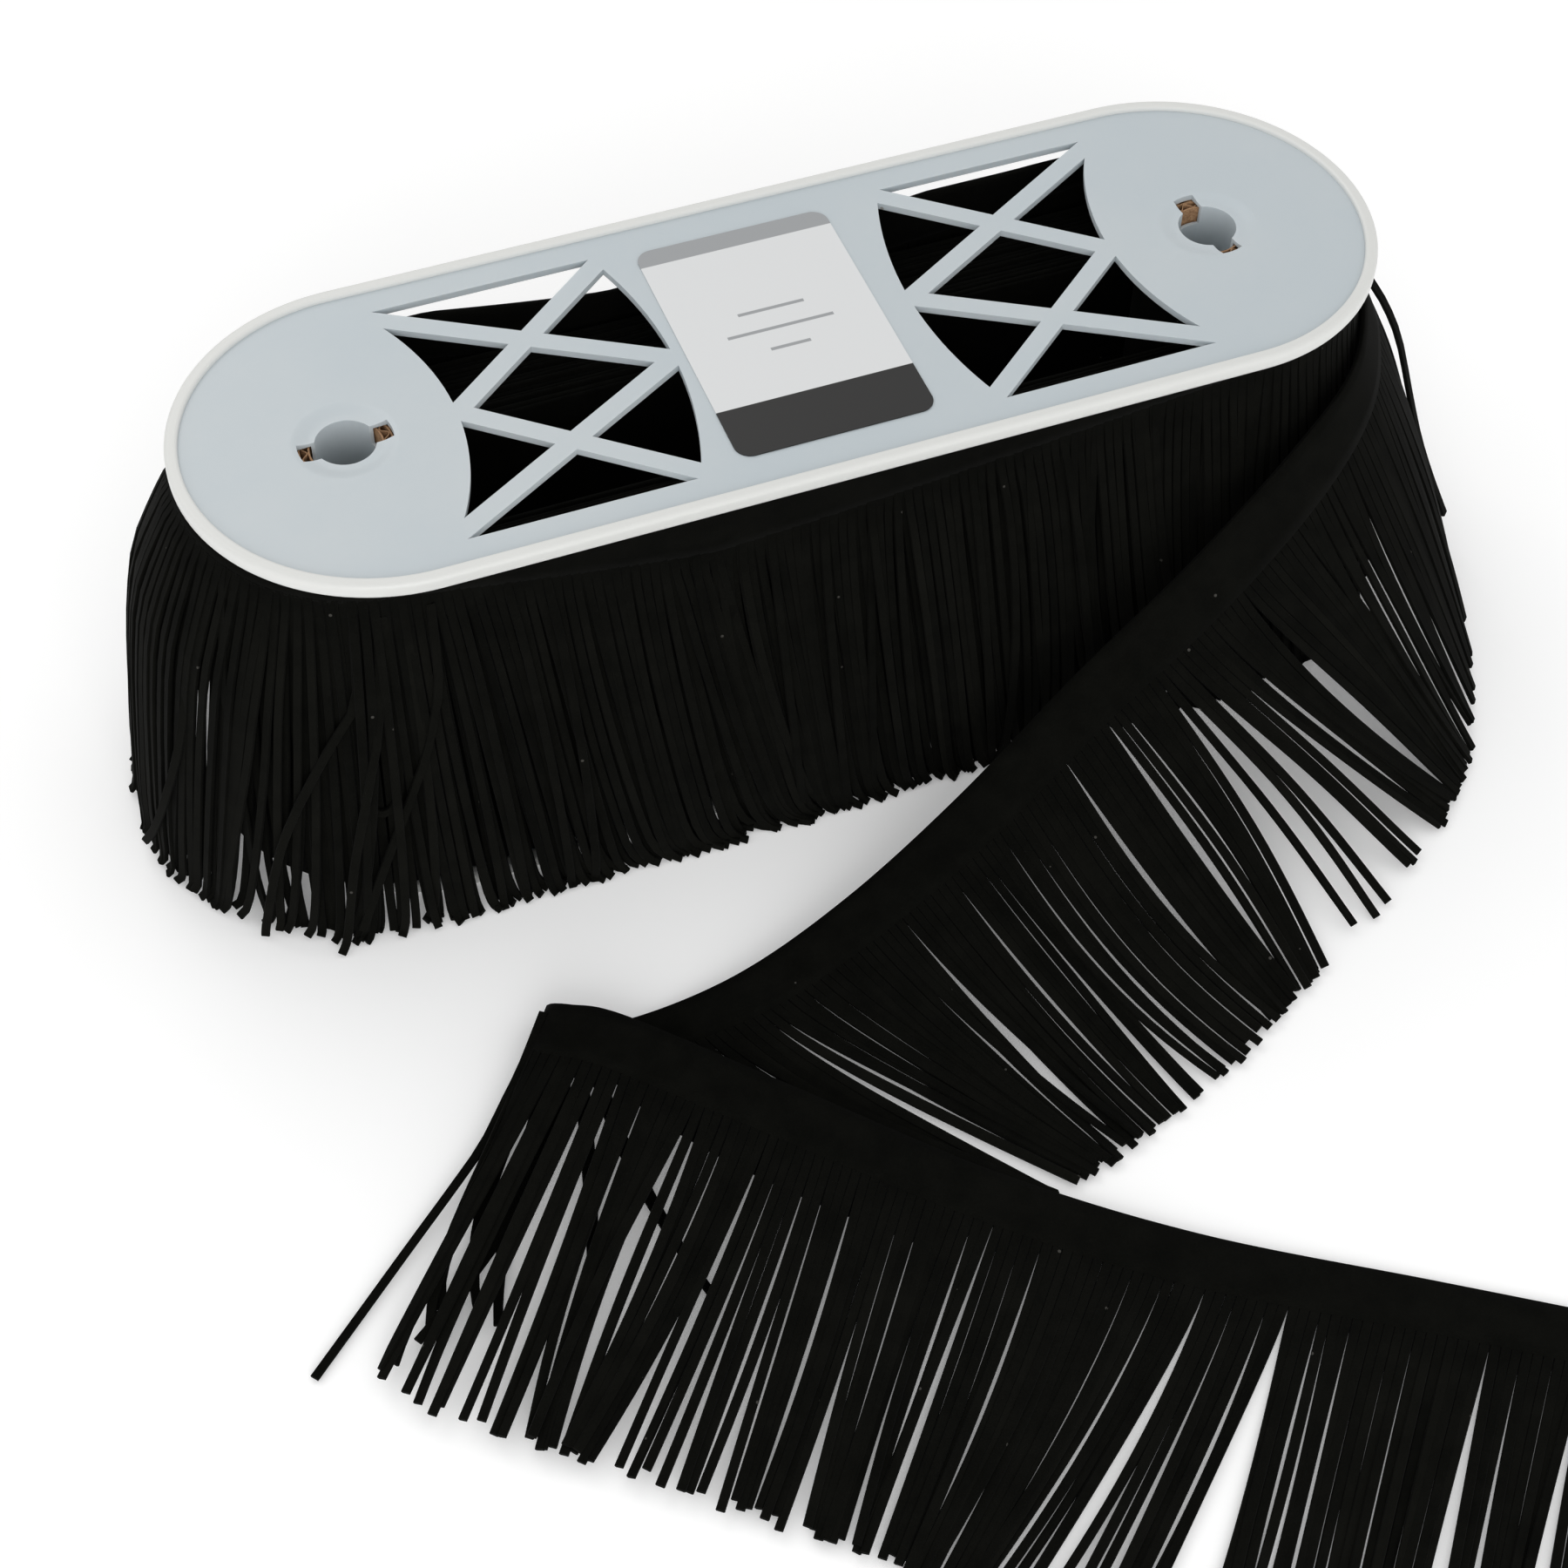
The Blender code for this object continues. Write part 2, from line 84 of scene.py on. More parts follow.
def addLights():
    for name, (place, aim, width, power, colour) in lights.items():
        data = bpy.data.lights.new(name, "AREA")
        data.shape, data.size, data.energy, data.color = "SQUARE", width, power, colour
        lamp = bpy.data.objects.new(name, data)
        lamp.location = place
        away = lamp.location - type(lamp.location)(aim)
        lamp.rotation_euler = away.to_track_quat("Z", "Y").to_euler()
        scene.collection.objects.link(lamp)
    world = bpy.data.worlds.new("surroundings")
    world.use_nodes = True
    background = world.node_tree.nodes["Background"]
    background.inputs["Color"].default_value = (*surroundings["colour"], 1)
    background.inputs["Strength"].default_value = surroundings["strength"]
    scene.world = world
    scene.view_settings.view_transform = "Standard"


# Shader helpers

def newMaterial(name):
    material = bpy.data.materials.new(name)
    material.use_nodes = True
    return material, material.node_tree, material.node_tree.nodes["Principled BSDF"]


def feed(tree, node, inputs):
    # inputs: a socket's name or number, with either a value or another socket
    for key, value in inputs.items():
        if isinstance(value, bpy.types.NodeSocket):
            tree.links.new(value, node.inputs[key])
        else:
            node.inputs[key].default_value = value


def addNode(tree, kind, inputs, **settings):
    node = tree.nodes.new(kind)
    for key, value in settings.items():
        setattr(node, key, value)
    feed(tree, node, inputs)
    return node


def finishShader(tree, shader, look, colour, height):
    # what every material of the piece has: its colour, roughness and fine bump
    inputs = {"Strength": look["bump"], "Distance": look["bumpHeight"], "Height": height}
    normal = addNode(tree, "ShaderNodeBump", inputs).outputs["Normal"]
    inputs = {"Base Color": colour, "Roughness": look["roughness"], "Normal": normal}
    feed(tree, shader, inputs)


def arithmetic(tree, operation, first, second=0.0, clamp=False):
    inputs = {0: first, 1: second}
    node = addNode(tree, "ShaderNodeMath", inputs, operation=operation, use_clamp=clamp)
    return node.outputs[0]


def ramp(tree, value, low, high):
    # (value - low) / (high - low), held between 0 and 1 with soft ends
    node = addNode(tree, "ShaderNodeMapRange", {"Value": value, "From Min": low, "From Max": high})
    node.interpolation_type = "SMOOTHSTEP"
    return node.outputs["Result"]


def mixColour(tree, share, first, second):
    # first where the share is 0, second where it is 1; either may be a colour or a socket
    node = tree.nodes.new("ShaderNodeMix")
    node.data_type = "RGBA"
    for key, value in (("Factor", share), ("A", first), ("B", second)):
        feed(tree, node, {key: (*value, 1) if isinstance(value, tuple) else value})
    return [socket for socket in node.outputs if socket.type == "RGBA"][0]


def objectPlace(tree):
    return tree.nodes.new("ShaderNodeTexCoord").outputs["Object"]


def addGroup(tree, group, values):
    inputs = {"Vector": objectPlace(tree)} | values
    return addNode(tree, "ShaderNodeGroup", inputs, node_tree=group)


def newGroup(name, inputs, outputs):
    # inputs: the label and default of each value, beside a vector; every output is a value
    group = bpy.data.node_groups.new(name, "ShaderNodeTree")
    group.interface.new_socket("Vector", in_out="INPUT", socket_type="NodeSocketVector")
    for label, value in inputs.items():
        socket = group.interface.new_socket(label, in_out="INPUT", socket_type="NodeSocketFloat")
        socket.default_value = value
    for label in outputs:
        group.interface.new_socket(label, in_out="OUTPUT", socket_type="NodeSocketFloat")
    return group, group.nodes.new("NodeGroupInput"), group.nodes.new("NodeGroupOutput")


def makeGrainGroup():
    # Grain: coarse mottling plus fine grain, as one mask and one height
    inputs = {"Coarse Scale": 60.0, "Fine Scale": 1500.0, "Fine Share": 0.5}
    group, given, made = newGroup("grain", inputs, ("Mask", "Height"))
    coarse, fine = (
        addNode(group, "ShaderNodeTexNoise", {
            "Vector": given.outputs["Vector"],
            "Scale": given.outputs[label],
            "Detail": 3.0,
            "Roughness": 0.6,
        }).outputs["Fac"] for label in ("Coarse Scale", "Fine Scale")
    )
    inputs = {"Factor": given.outputs["Fine Share"], 2: coarse, 3: fine}
    both = addNode(group, "ShaderNodeMix", inputs, data_type="FLOAT")
    feed(group, made, {"Mask": ramp(group, both.outputs[0], 0.3, 0.7), "Height": fine})
    return group


def makeDustGroup():
    # Dust: round specks, one in each of a few cells that are picked at random
    group, given, made = newGroup("dust", {"Scale": 400.0, "Speck Size": 0.12}, ("Mask",))
    inputs = {"Vector": given.outputs["Vector"], "Scale": given.outputs["Scale"]}
    cells = addNode(group, "ShaderNodeTexVoronoi", inputs)
    speck = arithmetic(group, "LESS_THAN", cells.outputs["Distance"], given.outputs["Speck Size"])
    chosen = addNode(group, "ShaderNodeSeparateColor", {"Color": cells.outputs["Color"]})
    rare = arithmetic(group, "GREATER_THAN", chosen.outputs[0], 0.94)
    feed(group, made, {"Mask": arithmetic(group, "MULTIPLY", speck, rare)})
    return group


suedeLook = {
    "nap": {"Coarse Scale": 130.0, "Fine Scale": 2600.0, "Fine Share": 0.45},
    "dust": {"Scale": 260.0, "Speck Size": 0.09},
    "mottle": 0.55,
    "dark": (0.0017, 0.0018, 0.0013),
    "light": (0.0057, 0.0057, 0.0044),
    "speck": (0.05, 0.048, 0.043),
    "roughness": 0.92,
    "shader": {"Specular IOR Level": 0.05, "Sheen Weight": 0.008},
    "bump": 0.35,
    "bumpHeight": 0.12 * mm,
}


def makeSuede(name, grain, dust):
    # dark to light by the mottled nap plus each strand's own tone, with a few specks
    look = suedeLook
    material, tree, shader = newMaterial(name)
    nap = addGroup(tree, grain, look["nap"])
    specks = addGroup(tree, dust, look["dust"])
    tone = addNode(tree, "ShaderNodeAttribute", {}, attribute_name="tone").outputs["Fac"]
    share = arithmetic(tree, "MULTIPLY", nap.outputs["Mask"], look["mottle"])
    share = arithmetic(tree, "ADD", share, tone, clamp=True)
    colour = mixColour(tree, share, look["dark"], look["light"])
    colour = mixColour(tree, specks.outputs["Mask"], colour, look["speck"])
    finishShader(tree, shader, look, colour, nap.outputs["Height"])
    feed(tree, shader, look["shader"])
    return material


plasticLook = {
    "cloud": {"Coarse Scale": 14.0, "Fine Scale": 420.0, "Fine Share": 0.12},
    "dust": {"Scale": 120.0, "Speck Size": 0.05},
    "plate": (0.502, 0.556, 0.586),
    "plateCloudy": (0.540, 0.582, 0.602),
    "rim": (0.700, 0.705, 0.685),
    "speck": (0.30, 0.29, 0.27),
    "roughness": 0.36,
    "shader": {
        "Subsurface Weight": 0.25,
        "Subsurface Radius": (1.0, 1.0, 1.0),
        "Subsurface Scale": 1.5 * mm,
    },
    "bump": 0.08,
    "bumpHeight": 0.1 * mm,
}


def makePlastic(grain, dust):
    # a cloudy plate colour, the rim's own colour over it, and a few specks
    look = plasticLook
    material, tree, shader = newMaterial("reelPlastic")
    cloud = addGroup(tree, grain, look["cloud"])
    specks = addGroup(tree, dust, look["dust"])
    rimShare = addNode(tree, "ShaderNodeAttribute", {}, attribute_name="rimShare").outputs["Fac"]
    colour = mixColour(tree, cloud.outputs["Mask"], look["plate"], look["plateCloudy"])
    colour = mixColour(tree, rimShare, colour, look["rim"])
    colour = mixColour(tree, specks.outputs["Mask"], colour, look["speck"])
    finishShader(tree, shader, look, colour, cloud.outputs["Height"])
    feed(tree, shader, look["shader"])
    return material


boardLook = {
    "pulp": {"Coarse Scale": 300.0, "Fine Scale": 2200.0},
    "dark": (0.19, 0.095, 0.045),
    "light": (0.50, 0.30, 0.16),
    "roughness": 0.9,
    "bump": 0.5,
    "bumpHeight": 0.15 * mm,
}


def makeBoard(grain):
    look = boardLook
    material, tree, shader = newMaterial("corrugatedBoard")
    pulp = addGroup(tree, grain, look["pulp"])
    colour = mixColour(tree, pulp.outputs["Mask"], look["dark"], look["light"])
    finishShader(tree, shader, look, colour, pulp.outputs["Height"])
    return material


def makeFloor():
    material, tree, shader = newMaterial("paleFloor")
    feed(tree, shader, {
        "Base Color": (*floorLook["colour"], 1),
        "Roughness": floorLook["roughness"],
        "Specular IOR Level": 0.0,
        "Emission Color": (1, 1, 1, 1),
        "Emission Strength": floorLook["glow"],
    })
    half = floorLook["size"] / 2
    corners = [(-half, -half, 0), (half, -half, 0), (half, half, 0), (-half, half, 0)]
    floor = newPiece("paleFloor", corners, [(0, 1, 2, 3)], material)


# Mesh helpers

def gridQuads(rows, columns, closedRows=False, closedColumns=False):
    # quads of a grid of rows x columns points, row by row
    row = np.arange(rows if closedRows else rows - 1)[:, None]
    column = np.arange(columns if closedColumns else columns - 1)[None, :]
    nextRow, nextColumn = (row + 1) % rows, (column + 1) % columns
    here, there = row * columns, nextRow * columns
    corners = [here + column, here + nextColumn, there + nextColumn, there + column]
    return np.stack(corners, axis=-1).reshape(-1, 4)


def facingOut(points, quads):
    # the quads, turned round if the closed shape's signed volume comes out negative
    a, b, c, d = (points[quads[:, k]] for k in range(4))
    volume = (a * np.cross(b, c)).sum() + (a * np.cross(c, d)).sum()
    return quads[:, ::-1] if volume < 0 else quads


def newPiece(name, points, faces, material=None):
    mesh = bpy.data.meshes.new(name)
    faces = faces.tolist() if isinstance(faces, np.ndarray) else faces
    mesh.from_pydata(np.asarray(points).reshape(-1, 3).tolist(), [], faces)
    mesh.validate()
    if material:
        mesh.materials.append(material)
    piece = bpy.data.objects.new(name, mesh)
    scene.collection.objects.link(piece)
    return piece


def finishPiece(piece, replaced=(), smoothAngle=35):
    mesh = piece.data
    mesh.shade_smooth()
    mesh.set_sharp_from_angle(angle=math.radians(smoothAngle))
    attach(piece, "root")
    if replaced:
        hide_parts(*replaced)


def setAttribute(piece, name, values, domain="POINT"):
    attribute = piece.data.attributes.new(name, "FLOAT", domain)
    attribute.data.foreach_set("value", np.asarray(values, np.float32).ravel())


def readAll(items, name, kind, width=1):
    values = np.empty(len(items) * width, kind)
    items.foreach_get(name, values)
    return values


def applyModifiers(piece):
    bpy.context.view_layer.update()
    evaluated = piece.evaluated_get(bpy.context.evaluated_depsgraph_get())
    mesh = bpy.data.meshes.new_from_object(evaluated)
    old = piece.data
    piece.modifiers.clear()
    piece.data = mesh
    bpy.data.meshes.remove(old)


def combine(piece, other, operation):
    # a boolean of the two, after which the other is gone
    modifier = piece.modifiers.new(operation.lower(), "BOOLEAN")
    modifier.operation = operation
    modifier.solver = "EXACT"
    modifier.object = other
    applyModifiers(piece)
    bpy.data.objects.remove(other, do_unlink=True)


# Outlines: arrays of points in the plane, anticlockwise

def rays(turn):
    return np.stack([np.cos(turn), np.sin(turn)], axis=1)


def ovalPath(steps, straightSteps, centreX):
    # middle points and unit normals of a straight-sided oval: point = middle + halfWidth * normal
    turn = np.linspace(-math.pi / 2, math.pi / 2, steps + 1)
    endNormals = rays(turn)
    endMiddles = np.tile([centreX, 0.0], (len(turn), 1))
    x = np.linspace(centreX, -centreX, straightSteps + 1)[1:-1]
    sideMiddles = np.stack([x, np.zeros_like(x)], axis=1)
    sideNormals = np.tile([0.0, 1.0], (len(x), 1))
    middles = np.concatenate([endMiddles, sideMiddles])
    normals = np.concatenate([endNormals, sideNormals])
    return np.concatenate([middles, -middles]), np.concatenate([normals, -normals])


def oval(halfWidth, steps, centreX):
    # point = middle + halfWidth * normal
    middles, normals = ovalPath(steps, 1, centreX)
    return middles + halfWidth * normals


def circle(radius, steps, centreX=0.0):
    # x = centreX + radius * cos(t), y = radius * sin(t)
    turn = np.linspace(0, 2 * math.pi, steps, endpoint=False)
    return radius * rays(turn) + (centreX, 0)


def arc(centreX, radius, halfWidth, steps):
    # x = centreX - radius * cos(t), y = radius * sin(t), for y from -halfWidth to halfWidth
    reach = math.asin(halfWidth / radius)
    turn = np.linspace(-reach, reach, steps + 1)
    return radius * rays(turn) * (-1, 1) + (centreX, 0)


def bar(start, end, width, overrun):
    # a straight strip between two points, longer by the overrun at both ends
    start, end = np.array(start), np.array(end)
    along = (end - start) / np.linalg.norm(end - start)
    start, end = start - along * overrun, end + along * overrun
    side = np.array([-along[1], along[0]]) * width / 2
    return np.array([start + side, start - side, end - side, end + side])


def roundedRectangle(width, length, radius, centreX, steps):
    # a circle of the corner's radius whose quarters are moved out to the four corners
    turn = np.linspace(0, 2 * math.pi, 4 * steps, endpoint=False) + math.pi / (4 * steps)
    round_ = rays(turn)
    corner = np.sign(round_) * (width / 2 - radius, length / 2 - radius)
    return round_ * radius + corner + (centreX, 0)


def raised(plane, height):
    # points in the plane, each put at its height
    height = np.broadcast_to(height, plane.shape[:-1])
    return np.concatenate([plane, height[..., None]], axis=-1)


def upright(name, outline, low, high, material=None):
    # an outline carried straight up from low to high, with both ends closed
    count = len(outline)
    points = np.concatenate([raised(outline, low), raised(outline, high)])
    sides = gridQuads(2, count, closedColumns=True).tolist()
    ends = [list(range(count))[::-1], list(range(count, 2 * count))]
    piece = newPiece(name, points, sides + ends, material)
    mesh = bmesh.new()
    mesh.from_mesh(piece.data)
    bmesh.ops.remove_doubles(mesh, verts=mesh.verts, dist=mergeDistance)
    bmesh.ops.recalc_face_normals(mesh, faces=mesh.faces)
    mesh.to_mesh(piece.data)
    mesh.free()
    return piece


def turned(name, profile, steps, centreX, material=None):
    # a closed profile of (radius, height) turned about an upright axis
    turn = np.linspace(0, 2 * math.pi, steps, endpoint=False)
    radius, height = np.array(profile).T
    plane = radius[:, None] * rays(turn)[:, None] + (centreX, 0)
    points = raised(plane, height).reshape(-1, 3)
    quads = facingOut(points, gridQuads(steps, len(profile), True, True))
    return newPiece(name, points, quads, material)


# Reel flanges

reel = {
    "halfWidth": 44 * mm,
    "endCentreX": 90.4 * mm,
    "rimHeight": 3.6 * mm,
    "rimWidth": 2.8 * mm,
    "recess": 1.0 * mm,
    "rimRound": 0.95 * mm,
    "endSteps": 64,
    "hubX": 98 * mm,
    "holeRadius": 6.4 * mm,
    "tubeRadius": 7.1 * mm,
    "tubeDepth": 18 * mm,
    "dishRadius": 11.4 * mm,
    "dishFlat": 7.4 * mm,
    "dishDepth": 0.75 * mm,
    "slotReach": 10 * mm,
    "slotWidth": 5 * mm,
    "slotDepth": 3 * mm,
    "slotTurns": {-1: 3, 1: 98},  # degrees, at the left and the right hub
    "windowHalfWidth": 35 * mm,
    "hubArc": (135.6 * mm, 61.4 * mm),  # centre and radius
    "panelArc": (120.2 * mm, 93.5 * mm),
    "strutWidth": 4.4 * mm,
    "strutReach": 33.2 * mm,
    "edgeRound": 0.22 * mm,
    "flatNormal": 0.9999,  # from this upright share on, a face counts as flat
}
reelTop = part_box("top_flange")[1].z


def rimSection():
    # an oblong with round corners, as (half width, height): round at the outside, tighter inside
    low, high = 0.0, reel["rimHeight"]
    inner, outer = reel["halfWidth"] - reel["rimWidth"], reel["halfWidth"]
    points = []
    corners = (
        (outer, low, 1, -1, reel["rimRound"]),
        (outer, high, 1, 1, reel["rimRound"]),
        (inner, high, -1, 1, reel["rimRound"] * 0.7),
        (inner, low, -1, -1, reel["rimRound"] * 0.7),
    )
    for quarter, (across, height, signX, signZ, radius) in enumerate(corners):
        turn = np.linspace(0, math.pi / 2, 6) + (quarter - 1) * math.pi / 2
        centre = (across - signX * radius, height - signZ * radius)
        points.append(centre + radius * rays(turn))
    return np.concatenate(points)


def makeRim(material):
    # the section carried round the oval: point = middle + across * normal, at its own height
    middles, normals = ovalPath(reel["endSteps"], 24, reel["endCentreX"])
    section = rimSection()
    plane = middles[:, None] + section[None, :, :1] * normals[:, None]
    points = raised(plane, section[:, 1]).reshape(-1, 3)
    quads = facingOut(points, gridQuads(len(middles), len(section), True, True))
    return newPiece("rim", points, quads, material)


def windowCells(side):
    # a curved field less four crossing struts
    hubSide = arc(*reel["hubArc"], reel["windowHalfWidth"], 28)
    panelSide = arc(*reel["panelArc"], reel["windowHalfWidth"], 28)
    outline = np.concatenate([panelSide, hubSide[::-1]]) * (side, 1)
    low, high = -reel["rimHeight"], 2 * reel["rimHeight"]
    field = upright("cells", outline, low, high)
    for near in (-1, 1):
        for startArc, endArc in (("hubArc", "panelArc"), ("panelArc", "hubArc")):
            startX = reel[startArc][0] - reel[startArc][1]
            endX = reel[endArc][0] - math.sqrt(reel[endArc][1] ** 2 - reel["strutReach"] ** 2)
            width = reel["strutWidth"]
            strut = bar((startX, 0), (endX, near * reel["strutReach"]), width, width)
            combine(field, upright("strut", strut * (side, 1), low - mm, high + mm), "DIFFERENCE")
    return field


def hubDish(side):
    # a cutter over the plate: its depth grows from 0 at the dish's edge to the full depth at
    # its flat middle, as half a cosine wave
    plateTop = reel["rimHeight"] - reel["recess"]
    share = np.linspace(0, 1, 13)
    radius = reel["dishRadius"] + (reel["dishFlat"] - reel["dishRadius"]) * share
    depth = reel["dishDepth"] * (0.5 - 0.5 * np.cos(math.pi * share))
    wall = np.column_stack([radius, plateTop + 1e-5 - depth])
    ceiling = plateTop + reel["dishDepth"]
    inside = 0.4 * mm
    top = [(inside, ceiling), (reel["dishRadius"], ceiling)]
    profile = np.concatenate([top, wall, [(inside, wall[-1, 1])]])
    return turned("dish", profile, 72, side * reel["hubX"])


def slotOutline(side):
    # two short arcs about the hub, one at each end of the key slot
    half = math.asin(reel["slotWidth"] / 2 / reel["slotReach"])
    turn = np.linspace(-half, half, 7)
    ends = rays(turn) * reel["slotReach"]
    outline = np.concatenate([ends, -ends])
    turnBy = math.radians(reel["slotTurns"][side])
    spin = np.array([[math.cos(turnBy), math.sin(turnBy)], [-math.sin(turnBy), math.cos(turnBy)]])
    return outline @ spin + (side * reel["hubX"], 0)


def makeFlange(material):
    # a plate less its windows, with tubes added and holes, key slots and dishes cut, then
    # rounded at its edges, and the rim added last
    plateLow, plateTop = reel["recess"], reel["rimHeight"] - reel["recess"]
    inset = reel["halfWidth"] - reel["rimWidth"] * 0.6
    outline = oval(inset, reel["endSteps"], reel["endCentreX"])
    body = upright("flange", outline, plateLow, plateTop, material)
    for side in (-1, 1):
        combine(body, windowCells(side), "DIFFERENCE")
        x, low, over = side * reel["hubX"], -reel["tubeDepth"], 2 * reel["rimHeight"]
        tubeTop = plateTop - reel["dishDepth"] - 0.1 * mm
        for operation, outline, bottom, top in (
            ("UNION", circle(reel["tubeRadius"], 72, x), low, tubeTop),
            ("DIFFERENCE", circle(reel["holeRadius"], 72, x), 2 * low, over),
            ("DIFFERENCE", slotOutline(side), -reel["slotDepth"], over),
        ):
            combine(body, upright("hub", outline, bottom, top), operation)
        combine(body, hubDish(side), "DIFFERENCE")
    rounding = body.modifiers.new("rounded", "BEVEL")
    rounding.width, rounding.segments = reel["edgeRound"], 2
    rounding.limit_method, rounding.angle_limit = "ANGLE", math.radians(42)
    applyModifiers(body)
    combine(body, makeRim(material), "UNION")
    return body


def makeReel(material):
    # the flange lifted to the top, and turned half round the X axis for the bottom; a face
    # takes the rim's colour by how far out its innermost corner lies
    flange = makeFlange(material)
    for name, node, turn, lift in (
        ("flangeTop", "top_flange", 0.0, reelTop - reel["rimHeight"]),
        ("flangeBottom", "bottom_flange", math.pi, reel["rimHeight"]),
    ):
        mesh = flange.data.copy()
        points = readAll(mesh.vertices, "co", float, 3).reshape(-1, 3)
        middleX = np.clip(points[:, 0], -reel["endCentreX"], reel["endCentreX"])
        outBy = np.hypot(points[:, 0] - middleX, points[:, 1])
        points = points * (1, math.cos(turn), math.cos(turn)) + (0, 0, lift)
        mesh.vertices.foreach_set("co", points.ravel())
        piece = bpy.data.objects.new(name, mesh)
        scene.collection.objects.link(piece)
        plateEdge = reel["halfWidth"] - reel["rimWidth"] - 1.2 * mm
        rimShare = np.clip((outBy - plateEdge) / (1.4 * mm), 0, 1)
        corners = readAll(mesh.loops, "vertex_index", np.int32)
        starts = readAll(mesh.polygons, "loop_start", np.int32)
        setAttribute(piece, "rimShare", np.minimum.reduceat(rimShare[corners], starts), "FACE")
        finishPiece(piece, [node], 38)
        normals = readAll(mesh.polygons, "normal", float, 3)
        tilted = np.abs(normals[2::3]) < reel["flatNormal"]
        mesh.polygons.foreach_set("use_smooth", tilted)
    bpy.data.objects.remove(flange, do_unlink=True)
    print("reel: two flanges")


# Corrugated board cores

core = {
    "liners": (7.7 * mm, 9.7 * mm, 11.6 * mm, 13.2 * mm),
    "linerThickness": 0.35 * mm,
    "fluteThickness": 0.28 * mm,
    "fluteLength": 3.4 * mm,
    "stepsPerFlute": 10,
}


def boardRing(inner, outer, low, high):
    # a wall between two radii that may wave with the angle: rows go round, four columns each
    round_ = rays(np.linspace(0, 2 * math.pi, len(inner), endpoint=False))
    corners = [(inner, low), (outer, low), (outer, high), (inner, high)]
    rings = [raised(round_ * radius[:, None], z) for radius, z in corners]
    points = np.stack(rings, axis=1).reshape(-1, 3)
    return points, facingOut(points, gridQuads(len(inner), 4, True, True))


def makeCores(material):
    # round liners, and between two of them a wave: radius = middle + swing * sin(flutes * t)
    for name, node, side in (
        ("boardCoreLeft", "core_left", -1),
        ("boardCoreRight", "core_right", 1),
    ):
        low, high = (corner.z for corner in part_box(node))
        walls = []
        for radius in core["liners"]:
            flat = np.full(96, radius)
            half = core["linerThickness"] / 2
            walls.append(boardRing(flat - half, flat + half, low, high))
        for inner, outer in zip(core["liners"], core["liners"][1:]):
            middle = (inner + outer) / 2
            swing = (outer - inner - core["linerThickness"] - core["fluteThickness"]) / 2
            flutes = round(2 * math.pi * middle / core["fluteLength"])
            turn = np.linspace(0, 2 * math.pi, flutes * core["stepsPerFlute"], endpoint=False)
            wave = middle + swing * np.sin(flutes * turn)
            half = core["fluteThickness"] / 2
            walls.append(boardRing(wave - half, wave + half, low, high))
        points, quads, count = [], [], 0
        for wallPoints, wallQuads in walls:
            points.append(wallPoints + (side * reel["hubX"], 0, 0))
            quads.append(wallQuads + count)
            count += len(wallPoints)
        piece = newPiece(name, np.concatenate(points), np.concatenate(quads), material)
        finishPiece(piece, [node])
    print("cores: corrugated board round each hub")


# Label

label = {
    "width": 44 * mm,
    "length": 66 * mm,
    "corner": 3.6 * mm,
    "centreX": -2.4 * mm,
    "thickness": 0.25 * mm,
    "topBand": 5.0 * mm,
    "bottomBand": 14.0 * mm,
    "rules": ((7.0, 15.0), (1.0, 24.0), (-5.0, 9.0)),  # height on the label and length, in mm
    "ruleWidth": 0.9 * mm,
    "paper": (0.70, 0.71, 0.715),
    "grey": (0.32, 0.33, 0.34),
    "black": (0.0060, 0.0056, 0.0052),
    "blur": 0.06 * mm,  # of every printed edge
    "roughness": 0.42,
    "bump": 0.06,
    "bumpHeight": 0.05 * mm,
    "lift": 0.03 * mm,
}


def band(tree, value, middle, width):
    # 1 within half the width of the middle, with a blurred edge
    off = arithmetic(tree, "ABSOLUTE", arithmetic(tree, "SUBTRACT", value, middle))
    return ramp(tree, off, width / 2 + label["blur"], width / 2 - label["blur"])


def makeLabelPaper(grain):
    # paper, with a band above, three rules and a band below, each by its height on the label
    material, tree, shader = newMaterial("labelPaper")
    x, y, _ = addNode(tree, "ShaderNodeSeparateXYZ", {0: objectPlace(tree)}).outputs
    soft = label["blur"]
    top = label["length"] / 2 - label["topBand"]
    low = label["bottomBand"] - label["length"] / 2
    inTop = ramp(tree, y, top - soft, top + soft)
    inBottom = ramp(tree, y, low + soft, low - soft)
    colour = mixColour(tree, inTop, label["paper"], label["grey"])
    for height, length in label["rules"]:
        onLine = band(tree, y, height * mm, label["ruleWidth"])
        inLength = band(tree, x, label["centreX"], length * mm)
        onRule = arithmetic(tree, "MULTIPLY", onLine, inLength)
        colour = mixColour(tree, onRule, colour, label["grey"])
    colour = mixColour(tree, inBottom, colour, label["black"])
    fibre = addGroup(tree, grain, {})
    finishShader(tree, shader, label, colour, fibre.outputs["Height"])
    return material


def makeLabel(material):
    # the rounded outline carried up from just over the plate
    low = reelTop - reel["recess"] + label["lift"]
    size = label["width"], label["length"], label["corner"]
    outline = roundedRectangle(*size, label["centreX"], 12)
    piece = upright("label_sticker", outline, low, low + label["thickness"], material)
    finishPiece(piece, ["label"])
    print("label: plain sticker")


# Fringe trim

trim = {
    "width": 95 * mm,
    "heading": 13 * mm,
    "thickness": 1.0 * mm,
    "strandThickness": 0.94 * mm,
    "strandWidth": 2.02 * mm,
    "pitch": 2.12 * mm,
    "floorLevel": 0.95 * mm,
    "clearance": 0.05 * mm,
}


def wavy(places, rng, lengths, size):
    # smooth noise: a sum of sines of the given wave lengths with random phases, up to about size
    total = np.zeros_like(places)
    for length in lengths:
        phase = rng.uniform(0, 2 * math.pi)
        total += np.sin(2 * math.pi * places / length + phase) * rng.uniform(0.5, 1.0)
    return total * size / len(lengths)


